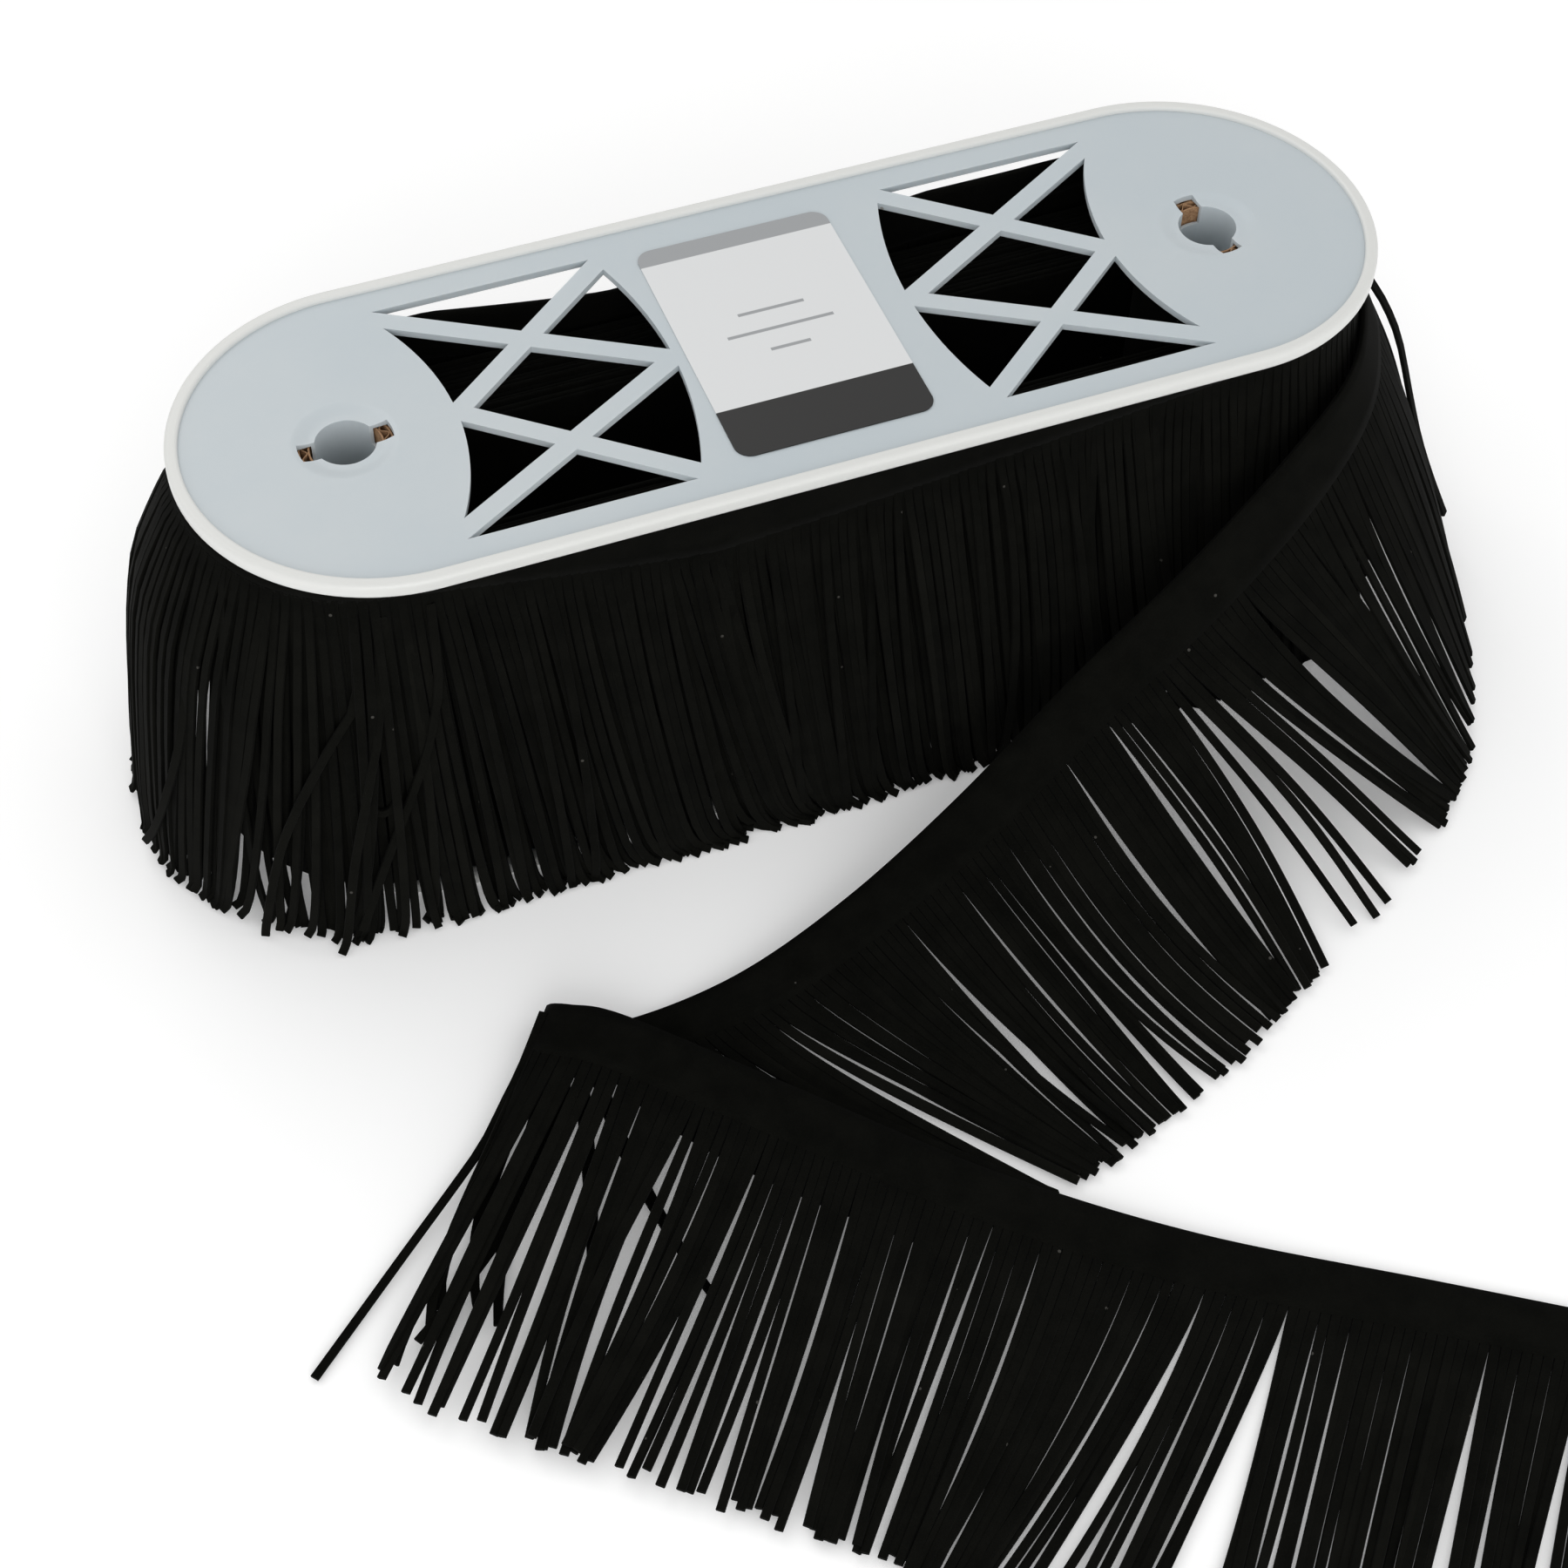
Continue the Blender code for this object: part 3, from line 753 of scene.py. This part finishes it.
def unit(vectors):
    return vectors / np.maximum(np.linalg.norm(vectors, axis=-1, keepdims=True), 1e-12)


def strandPiece(name, centres, facing, twist, width, tone, material):
    # each strand is a rounded oblong section carried along its own line:
    # point = centre + across * a + outward * b, where across and outward turn by the twist,
    # and no point lies lower than the clearance
    strands, levels = centres.shape[:2]
    along = unit(np.gradient(centres, axis=1))
    across = unit(np.cross(along, facing))
    outward = np.cross(across, along)
    cosine, sine = np.cos(twist)[..., None], np.sin(twist)[..., None]
    across, outward = across * cosine + outward * sine, outward * cosine - across * sine
    section = np.array([(1, 0), (0.82, 1), (-0.82, 1), (-1, 0), (-0.82, -1), (0.82, -1)])
    sides = len(section)
    spread = across[:, :, None] * (width[..., None] * section[:, 0] / 2)[..., None]
    depth = outward[:, :, None] * (trim["strandThickness"] * section[:, 1] / 2)[:, None]
    points = (centres[:, :, None] + spread + depth).reshape(-1, 3)
    points[:, 2] = np.maximum(points[:, 2], trim["clearance"])
    one = gridQuads(levels, sides, closedColumns=True)
    last = (levels - 1) * sides
    halves = np.array([(0, 1, 2, 3), (0, 3, 4, 5)])
    one = np.concatenate([one, halves[:, ::-1], halves + last])
    quads = (one[None] + (np.arange(strands) * levels * sides)[:, None, None]).reshape(-1, 4)
    piece = newPiece(name, points, facingOut(points, quads), material)
    setAttribute(piece, "tone", np.repeat(tone.ravel(), sides))
    return piece


def strayStrand(centres, facing, tone):
    # one strand placed at given points, in the form that a layer of strands has
    full = np.ones((1, len(centres)))
    return centres[None], facing[None], full * 0, full * trim["strandWidth"], full * tone


def suedeSheet(name, points, quads, thickness, replaced, material, tone=0.0):
    # a surface with half the thickness added to either side
    piece = newPiece(name, points, quads, material)
    setAttribute(piece, "tone", np.broadcast_to(tone, len(piece.data.vertices)))
    thick = piece.modifiers.new("suede", "SOLIDIFY")
    thick.thickness, thick.offset = thickness, 0
    finishPiece(piece, replaced)
    return piece


def smoothTable(table, places):
    # Catmull-Rom reading of a table's rows at fractional row numbers
    table = np.asarray(table, float)
    padded = np.vstack([2 * table[0] - table[1], table, 2 * table[-1] - table[-2]])
    row = np.clip(places.astype(int), 0, len(table) - 2)
    t = (places - row)[..., None]
    a, b, c, d = (padded[row + k] for k in range(4))
    square, cube = 2 * a - 5 * b + 4 * c - d, 3 * b - a - 3 * c + d
    return 0.5 * (2 * b + (c - a) * t + square * t**2 + cube * t**3)


# Wound turns

winding = {
    "turns": 14,
    "inner": 14.4 * mm,
    "outerTop": 32.4 * mm,
    "outerFoot": 42.0 * mm,
    "foot": 4.6 * mm,
    "top": 84.2 * mm,
    "rows": 9,
    "flarePower": 1.6,
    "sink": 1.6 * mm,  # of the top edge at the innermost turn
    # wave lengths in turns, and size
    "wallWaves": ((0.31, 0.77, 1.9), 0.12 * mm),
    "topWaves": ((0.23, 0.61, 1.37, 2.9), 1.3 * mm),
    "toneWaves": ((0.4, 1.3, 2.1), 0.25),
    "sheet": 0.95 * mm,
    "wrapRadius": 13.75 * mm,
    "wrapThickness": 0.5 * mm,
    "wrapTop": 98.6 * mm,
}


def makeWinding(material):
    # a spiral wall: half width grows evenly with the turns, and more towards the foot;
    # the top edge rises and falls a little from turn to turn
    rng = np.random.default_rng(3)
    middles, normals = ovalPath(22, 14, reel["hubX"])
    perTurn = len(middles)
    count = winding["turns"] * perTurn + 1
    step = np.arange(count)
    middle, normal = middles[step % perTurn], normals[step % perTurn]
    share = step / (count - 1)
    level = np.linspace(0, 1, winding["rows"])
    flare = (1 - level) ** winding["flarePower"]
    outer = winding["outerTop"] + (winding["outerFoot"] - winding["outerTop"]) * flare
    halfWidth = winding["inner"] + (outer[None] - winding["inner"]) * share[:, None]
    turn = step / perTurn
    halfWidth = halfWidth + wavy(turn, rng, *winding["wallWaves"])[:, None]
    top = winding["top"] + wavy(turn, rng, *winding["topWaves"]) - winding["sink"] * (1 - share)
    height = winding["foot"] + (top[:, None] - winding["foot"]) * level[None]
    points = raised(middle[:, None] + halfWidth[..., None] * normal[:, None], height)
    quads = gridQuads(count, winding["rows"])
    tone = np.repeat(wavy(turn, rng, *winding["toneWaves"]), winding["rows"])
    replaced = ["wound_trim"]
    piece = suedeSheet("woundTurns", points, quads, winding["sheet"], replaced, material, tone)
    makeCoreWraps(material)


def makeCoreWraps(material):
    # the first turn hugs each core, an upright round wall, so the board shows only through
    # the slots above it
    steps, rows = 72, 5
    radius, low, high = winding["wrapRadius"], winding["foot"], winding["wrapTop"]
    quads = gridQuads(steps, rows, closedRows=True)
    for name, node, side in (("coreWrapLeft", "core_left", -1), ("coreWrapRight", "core_right", 1)):
        ring = np.repeat(circle(radius, steps, side * reel["hubX"])[:, None], rows, axis=1)
        points = raised(ring, np.linspace(low, high, rows))
        piece = suedeSheet(name, points, quads, winding["wrapThickness"], [], material)


# Outer turns on the roll

outer = {
    # half width and height from the top of the heading to the tips, then the same at the left
    # end, where the strands bulge out under the flange, in mm
    "fall": (
        (34.5, 91, 31, 97.4),
        (34.8, 78, 36.2, 94),
        (36.6, 68, 40.6, 86),
        (39.6, 54, 46.6, 72.5),
        (43, 39, 50.4, 55),
        (46.6, 23, 53.4, 37),
        (50.2, 8, 56.4, 18),
        (52, 1.8, 58.2, 4.5),
        (54.2, 0.9, 60, 0.9),
    ),
    "lean": (
        # share of the lap, and how far the tips lie ahead of the roots there, in mm
        (0.0, 4), (0.06, 0), (0.18, -4), (0.30, 5), (0.45, -5), (0.55, 3), (0.64, -3), (0.68, -1),
        (0.70, 6), (0.74, 14), (0.79, 16), (0.84, 9), (0.87, 4), (0.91, 8), (0.95, 12), (1.0, 4),
    ),
    "rise": 12.0,  # of the heading, from its lowest place to the round ends, in mm
    "lowestX": -30.0 * mm,
    "ceiling": 97.4 * mm,
    "layers": 3,
    "layerStep": 1.25 * mm,
    "lap": 615.0 * mm,
    "levels": 15,
    "firstRow": 0.96,  # of the fall table, where the cuts begin
    "clump": (2, 9),
    # for a clump and for a strand in it, in mm
    "drift": (2.4, 0.7),
    "bow": (1.2, 0.5),
    "out": (1.2, 0.8),
    "short": (0.04, 0.07),  # the same, as a share of the length
    "cross": (0.08, 11, 1.8),  # share of crossing strands, how far, how far out
    "clumping": 0.7,
    "twist": (0.4, 0.5),  # spread and limit
    "tone": (0.16, 0.12),
    "strays": (
        # a few strands that leave the row, from the root to the tip, in mm
        ((-101.8, -35.4, 86), (-102, -37.4, 74), (-102.6, -39.3, 62), (-104.3, -42.6, 44),
         (-106.4, -44.4, 36.8), (-110, -44.6, 35.6), (-112.8, -43.6, 39.8)),
        ((-108, -34.8, 84), (-110.3, -39, 67), (-117.1, -40.6, 57), (-126.2, -41.2, 41),
         (-132.4, -41.6, 26.5), (-137.7, -41.6, 5.4), (-138.6, -42.2, 1.6)),
        ((-91.8, -35.4, 86), (-92.4, -38.2, 75), (-93.3, -39.8, 64), (-97.4, -42.4, 50),
         (-103.8, -45.6, 37), (-111.4, -48.6, 22), (-118.6, -50.6, 5)),
        ((-103.5, -36.4, 80), (-107, -41.8, 60), (-112, -45.4, 44), (-117.8, -48.2, 24),
         (-121.2, -50.2, 8), (-122.6, -51.2, 3), (-124.2, -52.4, 0.9)),
        ((-133, -12.5, 86), (-138.5, -17.8, 74), (-142, -21, 62), (-146.5, -22, 46),
         (-151.6, -19.4, 28), (-155, -14, 13), (-157.4, -8.6, 3)),
        ((133, -13.4, 87), (138.6, -15.4, 78), (143.6, -17.4, 67), (148.9, -19.6, 50),
         (153.4, -21.4, 36), (158.4, -23.4, 23), (164, -25.6, 10)),
    ),
}


def lapShares(middles, normals, halfWidth):
    # how far round the oval of that half width each of the path's points lies, from 0 to 1
    ring = middles + halfWidth * normals
    edge = np.linalg.norm(np.roll(ring, -1, axis=0) - ring, axis=1)
    run = np.concatenate([[0], np.cumsum(edge)])
    return run / run[-1]


def onLap(share, middles, normals, laps):
    # a share of the way round -> middle and unit normal, read between the path's own points
    read = []
    for values in (middles, normals):
        closed = np.concatenate([values, values[:1]])
        read.append(np.stack([np.interp(share % 1, laps, closed[:, k]) for k in (0, 1)], axis=-1))
    return read[0], unit(read[1])


def fallAt(level, middle, normal):
    # half width and height at a row of the fall table: the left end's own columns take over as the
    # normal turns to -X, and the heading climbs by rise * (distance from its lowest place)^1.2
    rows = smoothTable(outer["fall"], level)
    away = middle[..., 0] - outer["lowestX"]
    furthest = np.copysign(reel["hubX"], away) - outer["lowestX"]
    climb = np.clip(away / furthest, 0, 1) ** 1.2
    rows[..., 1] += outer["rise"] * climb * np.clip((4 - level) / 3, 0, 1)
    bulge = np.maximum(-normal[..., 0], 0)[..., None] ** 1.5
    halfWidth, height = np.moveaxis(rows[..., :2] * (1 - bulge) + rows[..., 2:] * bulge, -1, 0)
    return halfWidth * mm, np.minimum(height * mm, outer["ceiling"])


def clumped(count, rng, sizes):
    # number of the clump that each strand belongs to, for clumps of random sizes
    ends = np.cumsum(rng.integers(*sizes, count))
    return np.searchsorted(ends, np.arange(count), side="right")


def strandWidths(spacing, levels, rng, closedTo, openFrom):
    # as wide as the strands' spacing down to closedTo, so that the cuts start closed, then narrower
    narrowing = np.clip((levels - closedTo) / (openFrom - closedTo), 0, 1)
    width = spacing * 1.02 + (trim["strandWidth"] - spacing * 1.02) * narrowing
    return width * rng.uniform(0.95, 1.04, len(spacing))[:, None]


def makeOuterTurns(material):
    # a strand's place on the lap = its own share + drift * level^1.5 + bow * sin(pi * level);
    # the fall table gives its half width and height there, and each layer lies further in
    rng = np.random.default_rng(21)
    middles, normals = ovalPath(40, 60, reel["hubX"])
    rootWidth = outer["fall"][1][0] * mm
    laps = lapShares(middles, normals, rootWidth)
    levels = np.linspace(0, 1, outer["levels"])
    lastRow = len(outer["fall"]) - 1
    count = round(outer["lap"] / trim["pitch"])
    crossShare, crossReach, crossOut = outer["cross"]
    parts = []
    for layer in range(outer["layers"]):
        share = (np.arange(count) + 0.5 + 0.33 * layer) / count
        clump = clumped(count, rng, outer["clump"])
        centre = (np.bincount(clump, share) / np.bincount(clump))[clump]
        drift, bow = (
            rng.normal(0, ofClump, count)[clump] + rng.normal(0, ofStrand, count)
            for ofClump, ofStrand in (outer["drift"], outer["bow"])
        )
        cross = rng.random(count) < crossShare
        drift = np.where(cross, rng.uniform(-crossReach, crossReach, count), drift)
        drift = (drift + np.interp(share % 1, *np.array(outer["lean"]).T)) * mm / outer["lap"]
        bow = bow * mm / outer["lap"]
        out = rng.uniform(0, outer["out"][1], count) + rng.uniform(0, outer["out"][0], count)[clump]
        out = (out + np.where(cross, crossOut, 0)) * mm
        reach = rng.uniform(1 - outer["short"][1], 1.0, count)
        reach = (reach - rng.uniform(0, outer["short"][0], count)[clump])[:, None]
        place = share[:, None] + drift[:, None] * levels ** 1.5
        place = place + bow[:, None] * np.sin(math.pi * levels)
        middle, normal = onLap(place, middles, normals, laps)
        row = outer["firstRow"] + levels * (lastRow * reach - outer["firstRow"])
        halfWidth, height = fallAt(row, middle, normal)
        # round the ends a clump keeps its width, so gaps open between clumps
        atEnd = np.abs(normal[..., 0]) * (1 - rootWidth / halfWidth)
        place = place - (share - centre)[:, None] * atEnd * outer["clumping"] * levels
        middle, normal = onLap(place, middles, normals, laps)
        halfWidth, height = fallAt(row, middle, normal)
        halfWidth = halfWidth - layer * outer["layerStep"] * np.clip(levels * 4, 0, 1)
        swell = np.sin(math.pi * np.clip(levels * 1.1, 0, 1)) ** 0.8
        halfWidth = halfWidth + out[:, None] * swell
        height = np.maximum(height, trim["floorLevel"] + 0.3 * mm * layer)
        spread, limit = outer["twist"]
        twist = np.clip(rng.normal(0, spread, count), -limit, limit)
        spacing = np.full((count, len(levels)), trim["pitch"])
        width = strandWidths(spacing, levels, rng, 0.0, 0.05)
        tone = rng.normal(*outer["tone"], count)
        parts.append((
            raised(middle + halfWidth[..., None] * normal, height),
            raised(normal, 0.25),
            twist[:, None] * levels ** 1.5,
            width,
            tone[:, None] * np.clip(levels * 5, 0, 1),
        ))
    for points in outer["strays"]:
        centres = smoothTable(points, levels * (len(points) - 1)) * mm
        hub = np.clip(centres[:, :2], (-reel["hubX"], 0), (reel["hubX"], 0))
        tilted = unit(centres[:, :2] - hub) + (0, -0.8)
        parts.append(strayStrand(centres, raised(tilted, 0.5), 0.25))
    piece = strandPiece("outerStrands", *map(np.concatenate, zip(*parts)), material)
    finishPiece(piece, [], 50)

    # heading: a short wall round the oval, from its top edge to the root of the cuts
    row = np.linspace(0, 1, 6)
    middle, normal = (np.repeat(values[:, None], len(row), axis=1) for values in (middles, normals))
    halfWidth, height = fallAt(np.broadcast_to(row, middle.shape[:2]), middle, normal)
    points = raised(middle + halfWidth[..., None] * normal, height)
    quads, replaced = gridQuads(*height.shape, closedRows=True), ["outer_turn_fringe"]
    heading = suedeSheet("outerHeading", points, quads, trim["thickness"], replaced, material)
    print("outer turns:", count * outer["layers"], "strands")


# Loose end

looseEnd = {
    # top edge of the heading, tip of the strand there, and the height of the strand's middle, in mm
    "lie": (
        # head x, y, z, tip x, y, z, middle z
        (107.4, 35.1, 84.5, 112.1, 53.6, 1, 34),
        (121.7, 28.4, 84.5, 138.1, 45.6, 1, 44),
        (133.2, 12.8, 84, 158.9, 16, 0.8, 48),
        (134.6, -5, 83.5, 161, -18, 0.8, 49),
        (130.5, -18.5, 82.5, 157, -47, 0.8, 47),
        (119.5, -34.5, 80.5, 149.5, -68, 0.8, 42),
        (101, -46, 74, 135, -92, 0.8, 33),
        (73.3, -56, 58, 113, -112, 0.8, 24),
        (44.6, -62, 38, 79, -131, 0.8, 15),
        (12.4, -72, 19, 38, -152, 0.8, 6),
        (-17, -82, 9, 8, -161, 0.8, 2.5),
        (-45, -89.5, 4, -22, -166, 0.8, 1),
        (-70, -91, 1.6, -62, -164, 0.8, 0.8),
        (-83.2, -87.4, 1.4, -108, -152, 0.8, 0.8),
        (-86.8, -83.8, 4.8, -137, -151.5, 2.6, 3.4),
        (-82.6, -87.4, 8.2, -145.5, -158.5, 3.8, 6.2),
        (-72.5, -94, 8, -132, -170, 3.6, 5.8),
        (-46, -121, 6.6, -101, -195.5, 3, 4.4),
        (-13, -154.4, 4.4, -70, -221, 1.6, 3.4),
        (21, -181.2, 2, -37, -248, 0.8, 0.8),
        (62, -207.6, 1, 4, -275, 0.8, 0.8),
        (96, -230, 1, 37, -297, 0.8, 0.8),
    ),
    "levels": 16,
    "marks": 4000,
    "clump": (2, 8),  # strands in a clump where the table below gives none
    "endSpread": (0.8, 0.18),  # for a clump and for a strand in it, in strands
    "bowSpread": (0.5, 0.22),
    "ease": 1.35,
    "cross": (0.03, 3.5, 1.0),  # share of crossing strands, how far, how high in mm
    "short": 0.035,
    "lift": 1.1,  # most height over the ones below, in mm
    "twist": (0.3, 0.5),
    "tone": (0.10, 0.10),
    "overlap": 0.004,  # of strand and heading, as a share of the width
    # clumps in the two stretches that show: first strand, then where its first and its last
    # strand end and how far its middle bows, in strands along the row of tips
    "clumps": (
        (40, 40.9, 44.4, 0), (45, 46.2, 47.2, 0.3), (48, 48.6, 52.4, -0.2), (55, 52.6, 56.2, -1.6),
        (65, 57.2, 58.6, 0.5), (68, 59.6, 62.4, -0.6), (72, 67.7, 70, -1.8),
        (75, 74.6, 74.6, -1.8), (76, 76.8, 76.8, -1.9), (77, 79.6, 79.6, -1.3),
        (78, 84.9, 88.2, -1.3), (85, 88.9, 92, 0.2), (91, 92.3, 100.2, 1.2), (102, 102.2, 103, 0),
        (104, 105.2, 106, 0), (107, 107, 113.2, 0.3), (115, 114.6, 116.4, 0.4),
        (123, 116.4, 117.6, -0.4), (129, 117.8, 119.8, -0.6), (133, 123, 134, 0),
        (148, 146, 152, 0), (151, 151.4, 152.2, 0.6), (154, 152.8, 155.4, 0.3),
        (158, 157.6, 159.6, -0.3), (161, 160.2, 161.6, 0.3), (163, 163, 163.2, -0.4),
        (164, 164.4, 165.2, 0.3), (166, 167.2, 170.4, -0.8), (173, 170.6, 172.5, 0.2),
        (179, 175.8, 176.8, 0), (181, 177.9, 179.2, 0), (183, 180.3, 180.3, 0),
        (184, 182.4, 182.4, 0), (185, 183.9, 183.9, 0), (186, 186.4, 193.2, 0.2),
        (194, 196, 199.4, 0), (200, 201.2, 202.4, 0), (204, 204.1, 210.1, 0.4),
        (214, 210.8, 213, 0.3), (221, 214.3, 215.6, 0.2), (223, 216.5, 217, 0),
        (225, 218.4, 220.9, 0), (227, 222.2, 223.8, 0), (229, 224.6, 227.3, 0),
        (233, 232.9, 232.9, 0), (234, 234.6, 239.5, 0), (240, 240.7, 247, 0),
        (248, 247.8, 250.2, 0), (252, 253.2, 253.8, 0), (255, 256, 258, 0), (259, 258.8, 259.2, 0),
        (261, 261.8, 264.5, 0),
    ),
    "stray": (
        # one strand that leaves the fold by itself, from the root to the tip, in mm
        (-88.5, -86, 6.6), (-96.6, -96.5, 5.6), (-103, -103.6, 4.8), (-110.1, -111.2, 3.8),
        (-120, -119.2, 2.8), (-130.8, -127.7, 2), (-144, -138.4, 1.4), (-156.4, -148.5, 1),
    ),
}


def looseLines(at):
    # heads, bend points and tips at shares of the loose end's length, evenly along the heading
    table = np.array(looseEnd["lie"])
    dense = np.linspace(0, len(table) - 1, looseEnd["marks"])
    edge = smoothTable(table, dense)[:, :3]
    run = np.concatenate([[0], np.cumsum(np.linalg.norm(np.diff(edge, axis=0), axis=1))])
    rows = smoothTable(table, np.interp(at * run[-1], run, dense)) * mm
    head, tip = rows[..., :3], rows[..., 3:6]
    low = (head + tip) / 2
    low[..., 2] = rows[..., 6]
    return head, 2 * low - (head + tip) / 2, tip, run[-1] * mm


def drape(at, v):
    # a parabola: head (1-v)^2 + bend 2v(1-v) + tip v^2, never under the floor level
    head, bend, tip, _ = looseLines(at)
    v = v[..., None]
    point = head * (1 - v) ** 2 + bend * 2 * v * (1 - v) + tip * v**2
    point[..., 2] = np.maximum(point[..., 2], trim["floorLevel"])
    return point


def tipPlaces(count, rng):
    # where each strand ends along the row of tips, and how far its middle bows, both in strands
    clump = clumped(count, rng, looseEnd["clump"])
    endSpread, bowSpread = looseEnd["endSpread"], looseEnd["bowSpread"]
    ends = np.arange(count) + rng.normal(0, endSpread[0], count)[clump]
    bows = rng.normal(0, bowSpread[0], count)[clump]
    table = looseEnd["clumps"]
    lasts = [row[0] for row in table[1:]] + [count]
    for (first, start, end, bow), last in zip(table, lasts):
        ends[first:last] = np.linspace(start, end, last - first) if last - first > 1 else start
        bows[first:last] = bow
    return ends + rng.normal(0, endSpread[1], count), bows + rng.normal(0, bowSpread[1], count)


def makeLooseEnd(material):
    # place of strand n = n + (end - n) * level^1.35 + bow * sin(pi * level^1.1), and its point
    # is where the drape lies at that place, lifted a little along the drape's own normal
    rng = np.random.default_rng(8)
    length = looseLines(np.array([0.0]))[3]
    count = round(length / trim["pitch"])
    rootAt = trim["heading"] / trim["width"]
    levels = np.linspace(0, 1, looseEnd["levels"])
    number = np.arange(count)
    ends, bows = tipPlaces(count, rng)
    crossShare, crossReach, crossLift = looseEnd["cross"]
    cross = rng.random(count) < crossShare
    ends = np.where(cross, ends + rng.uniform(-crossReach, crossReach, count), ends)
    place = number[:, None] + (ends - number)[:, None] * levels ** looseEnd["ease"]
    place = place + bows[:, None] * np.sin(math.pi * levels ** 1.1)
    at = np.clip((place + 0.5) / count, 0, 1)
    reach = 1 - rng.uniform(0, looseEnd["short"], count)[:, None]
    cutsFrom = rootAt - looseEnd["overlap"]
    v = cutsFrom + levels * (reach - cutsFrom)
    centres = drape(at, v)
    lift = rng.uniform(0, looseEnd["lift"], count) + np.where(cross, crossLift, 0)
    ahead, behind = (drape(np.clip(at + step, 0, 1), v) for step in (0.001, -0.001))
    facing = unit(np.cross(ahead - behind, np.gradient(centres, axis=1)))
    facing *= np.sign(facing[:, -1:, 2:])
    centres = centres + facing * (lift[:, None] * mm * np.clip(levels * 2, 0, 1))[..., None]
    spread, limit = looseEnd["twist"]
    twist = np.clip(rng.normal(0, spread, count), -limit, limit)[:, None] * levels ** 1.5
    own = drape(np.broadcast_to((number[:, None] + 0.5) / count, v.shape), v)
    spacing = np.linalg.norm(np.gradient(own, axis=0), axis=-1)
    spacing = np.clip(spacing, trim["pitch"], 1.5 * trim["pitch"])
    width = strandWidths(spacing, levels, rng, 0.5, 0.95)
    tone = rng.normal(*looseEnd["tone"], count)[:, None] * np.clip(levels * 5, 0, 1)
    points = looseEnd["stray"]
    stray = smoothTable(points, levels * (len(points) - 1)) * mm
    stray = strayStrand(stray, np.broadcast_to((0.0, 0.0, 1.0), stray.shape), 0.0)
    parts = zip((centres, facing, twist, width, tone), stray)
    strands = strandPiece("looseStrands", *map(np.concatenate, parts), material)
    finishPiece(strands, ["loose_end_fringe"], 50)

    # heading: the same drape from the top edge to the root of the cuts
    shape = (420, 6)
    places = np.broadcast_to(np.linspace(0, 1, shape[0])[:, None], shape)
    across = np.broadcast_to(np.linspace(0, rootAt, shape[1]), shape)
    points, quads = drape(places, across), gridQuads(*shape)
    heading = suedeSheet("looseHeading", points, quads, trim["thickness"], [], material)
    print("loose end:", count, "strands on", round(length, 3), "m")


addCamera()
addLights()
grain = makeGrainGroup()
dust = makeDustGroup()
suede = makeSuede("blackSuede", grain, dust)
plastic = makePlastic(grain, dust)
makeFloor()
makeReel(plastic)
makeCores(makeBoard(grain))
makeLabel(makeLabelPaper(grain))
makeWinding(suede)
makeOuterTurns(suede)
makeLooseEnd(suede)
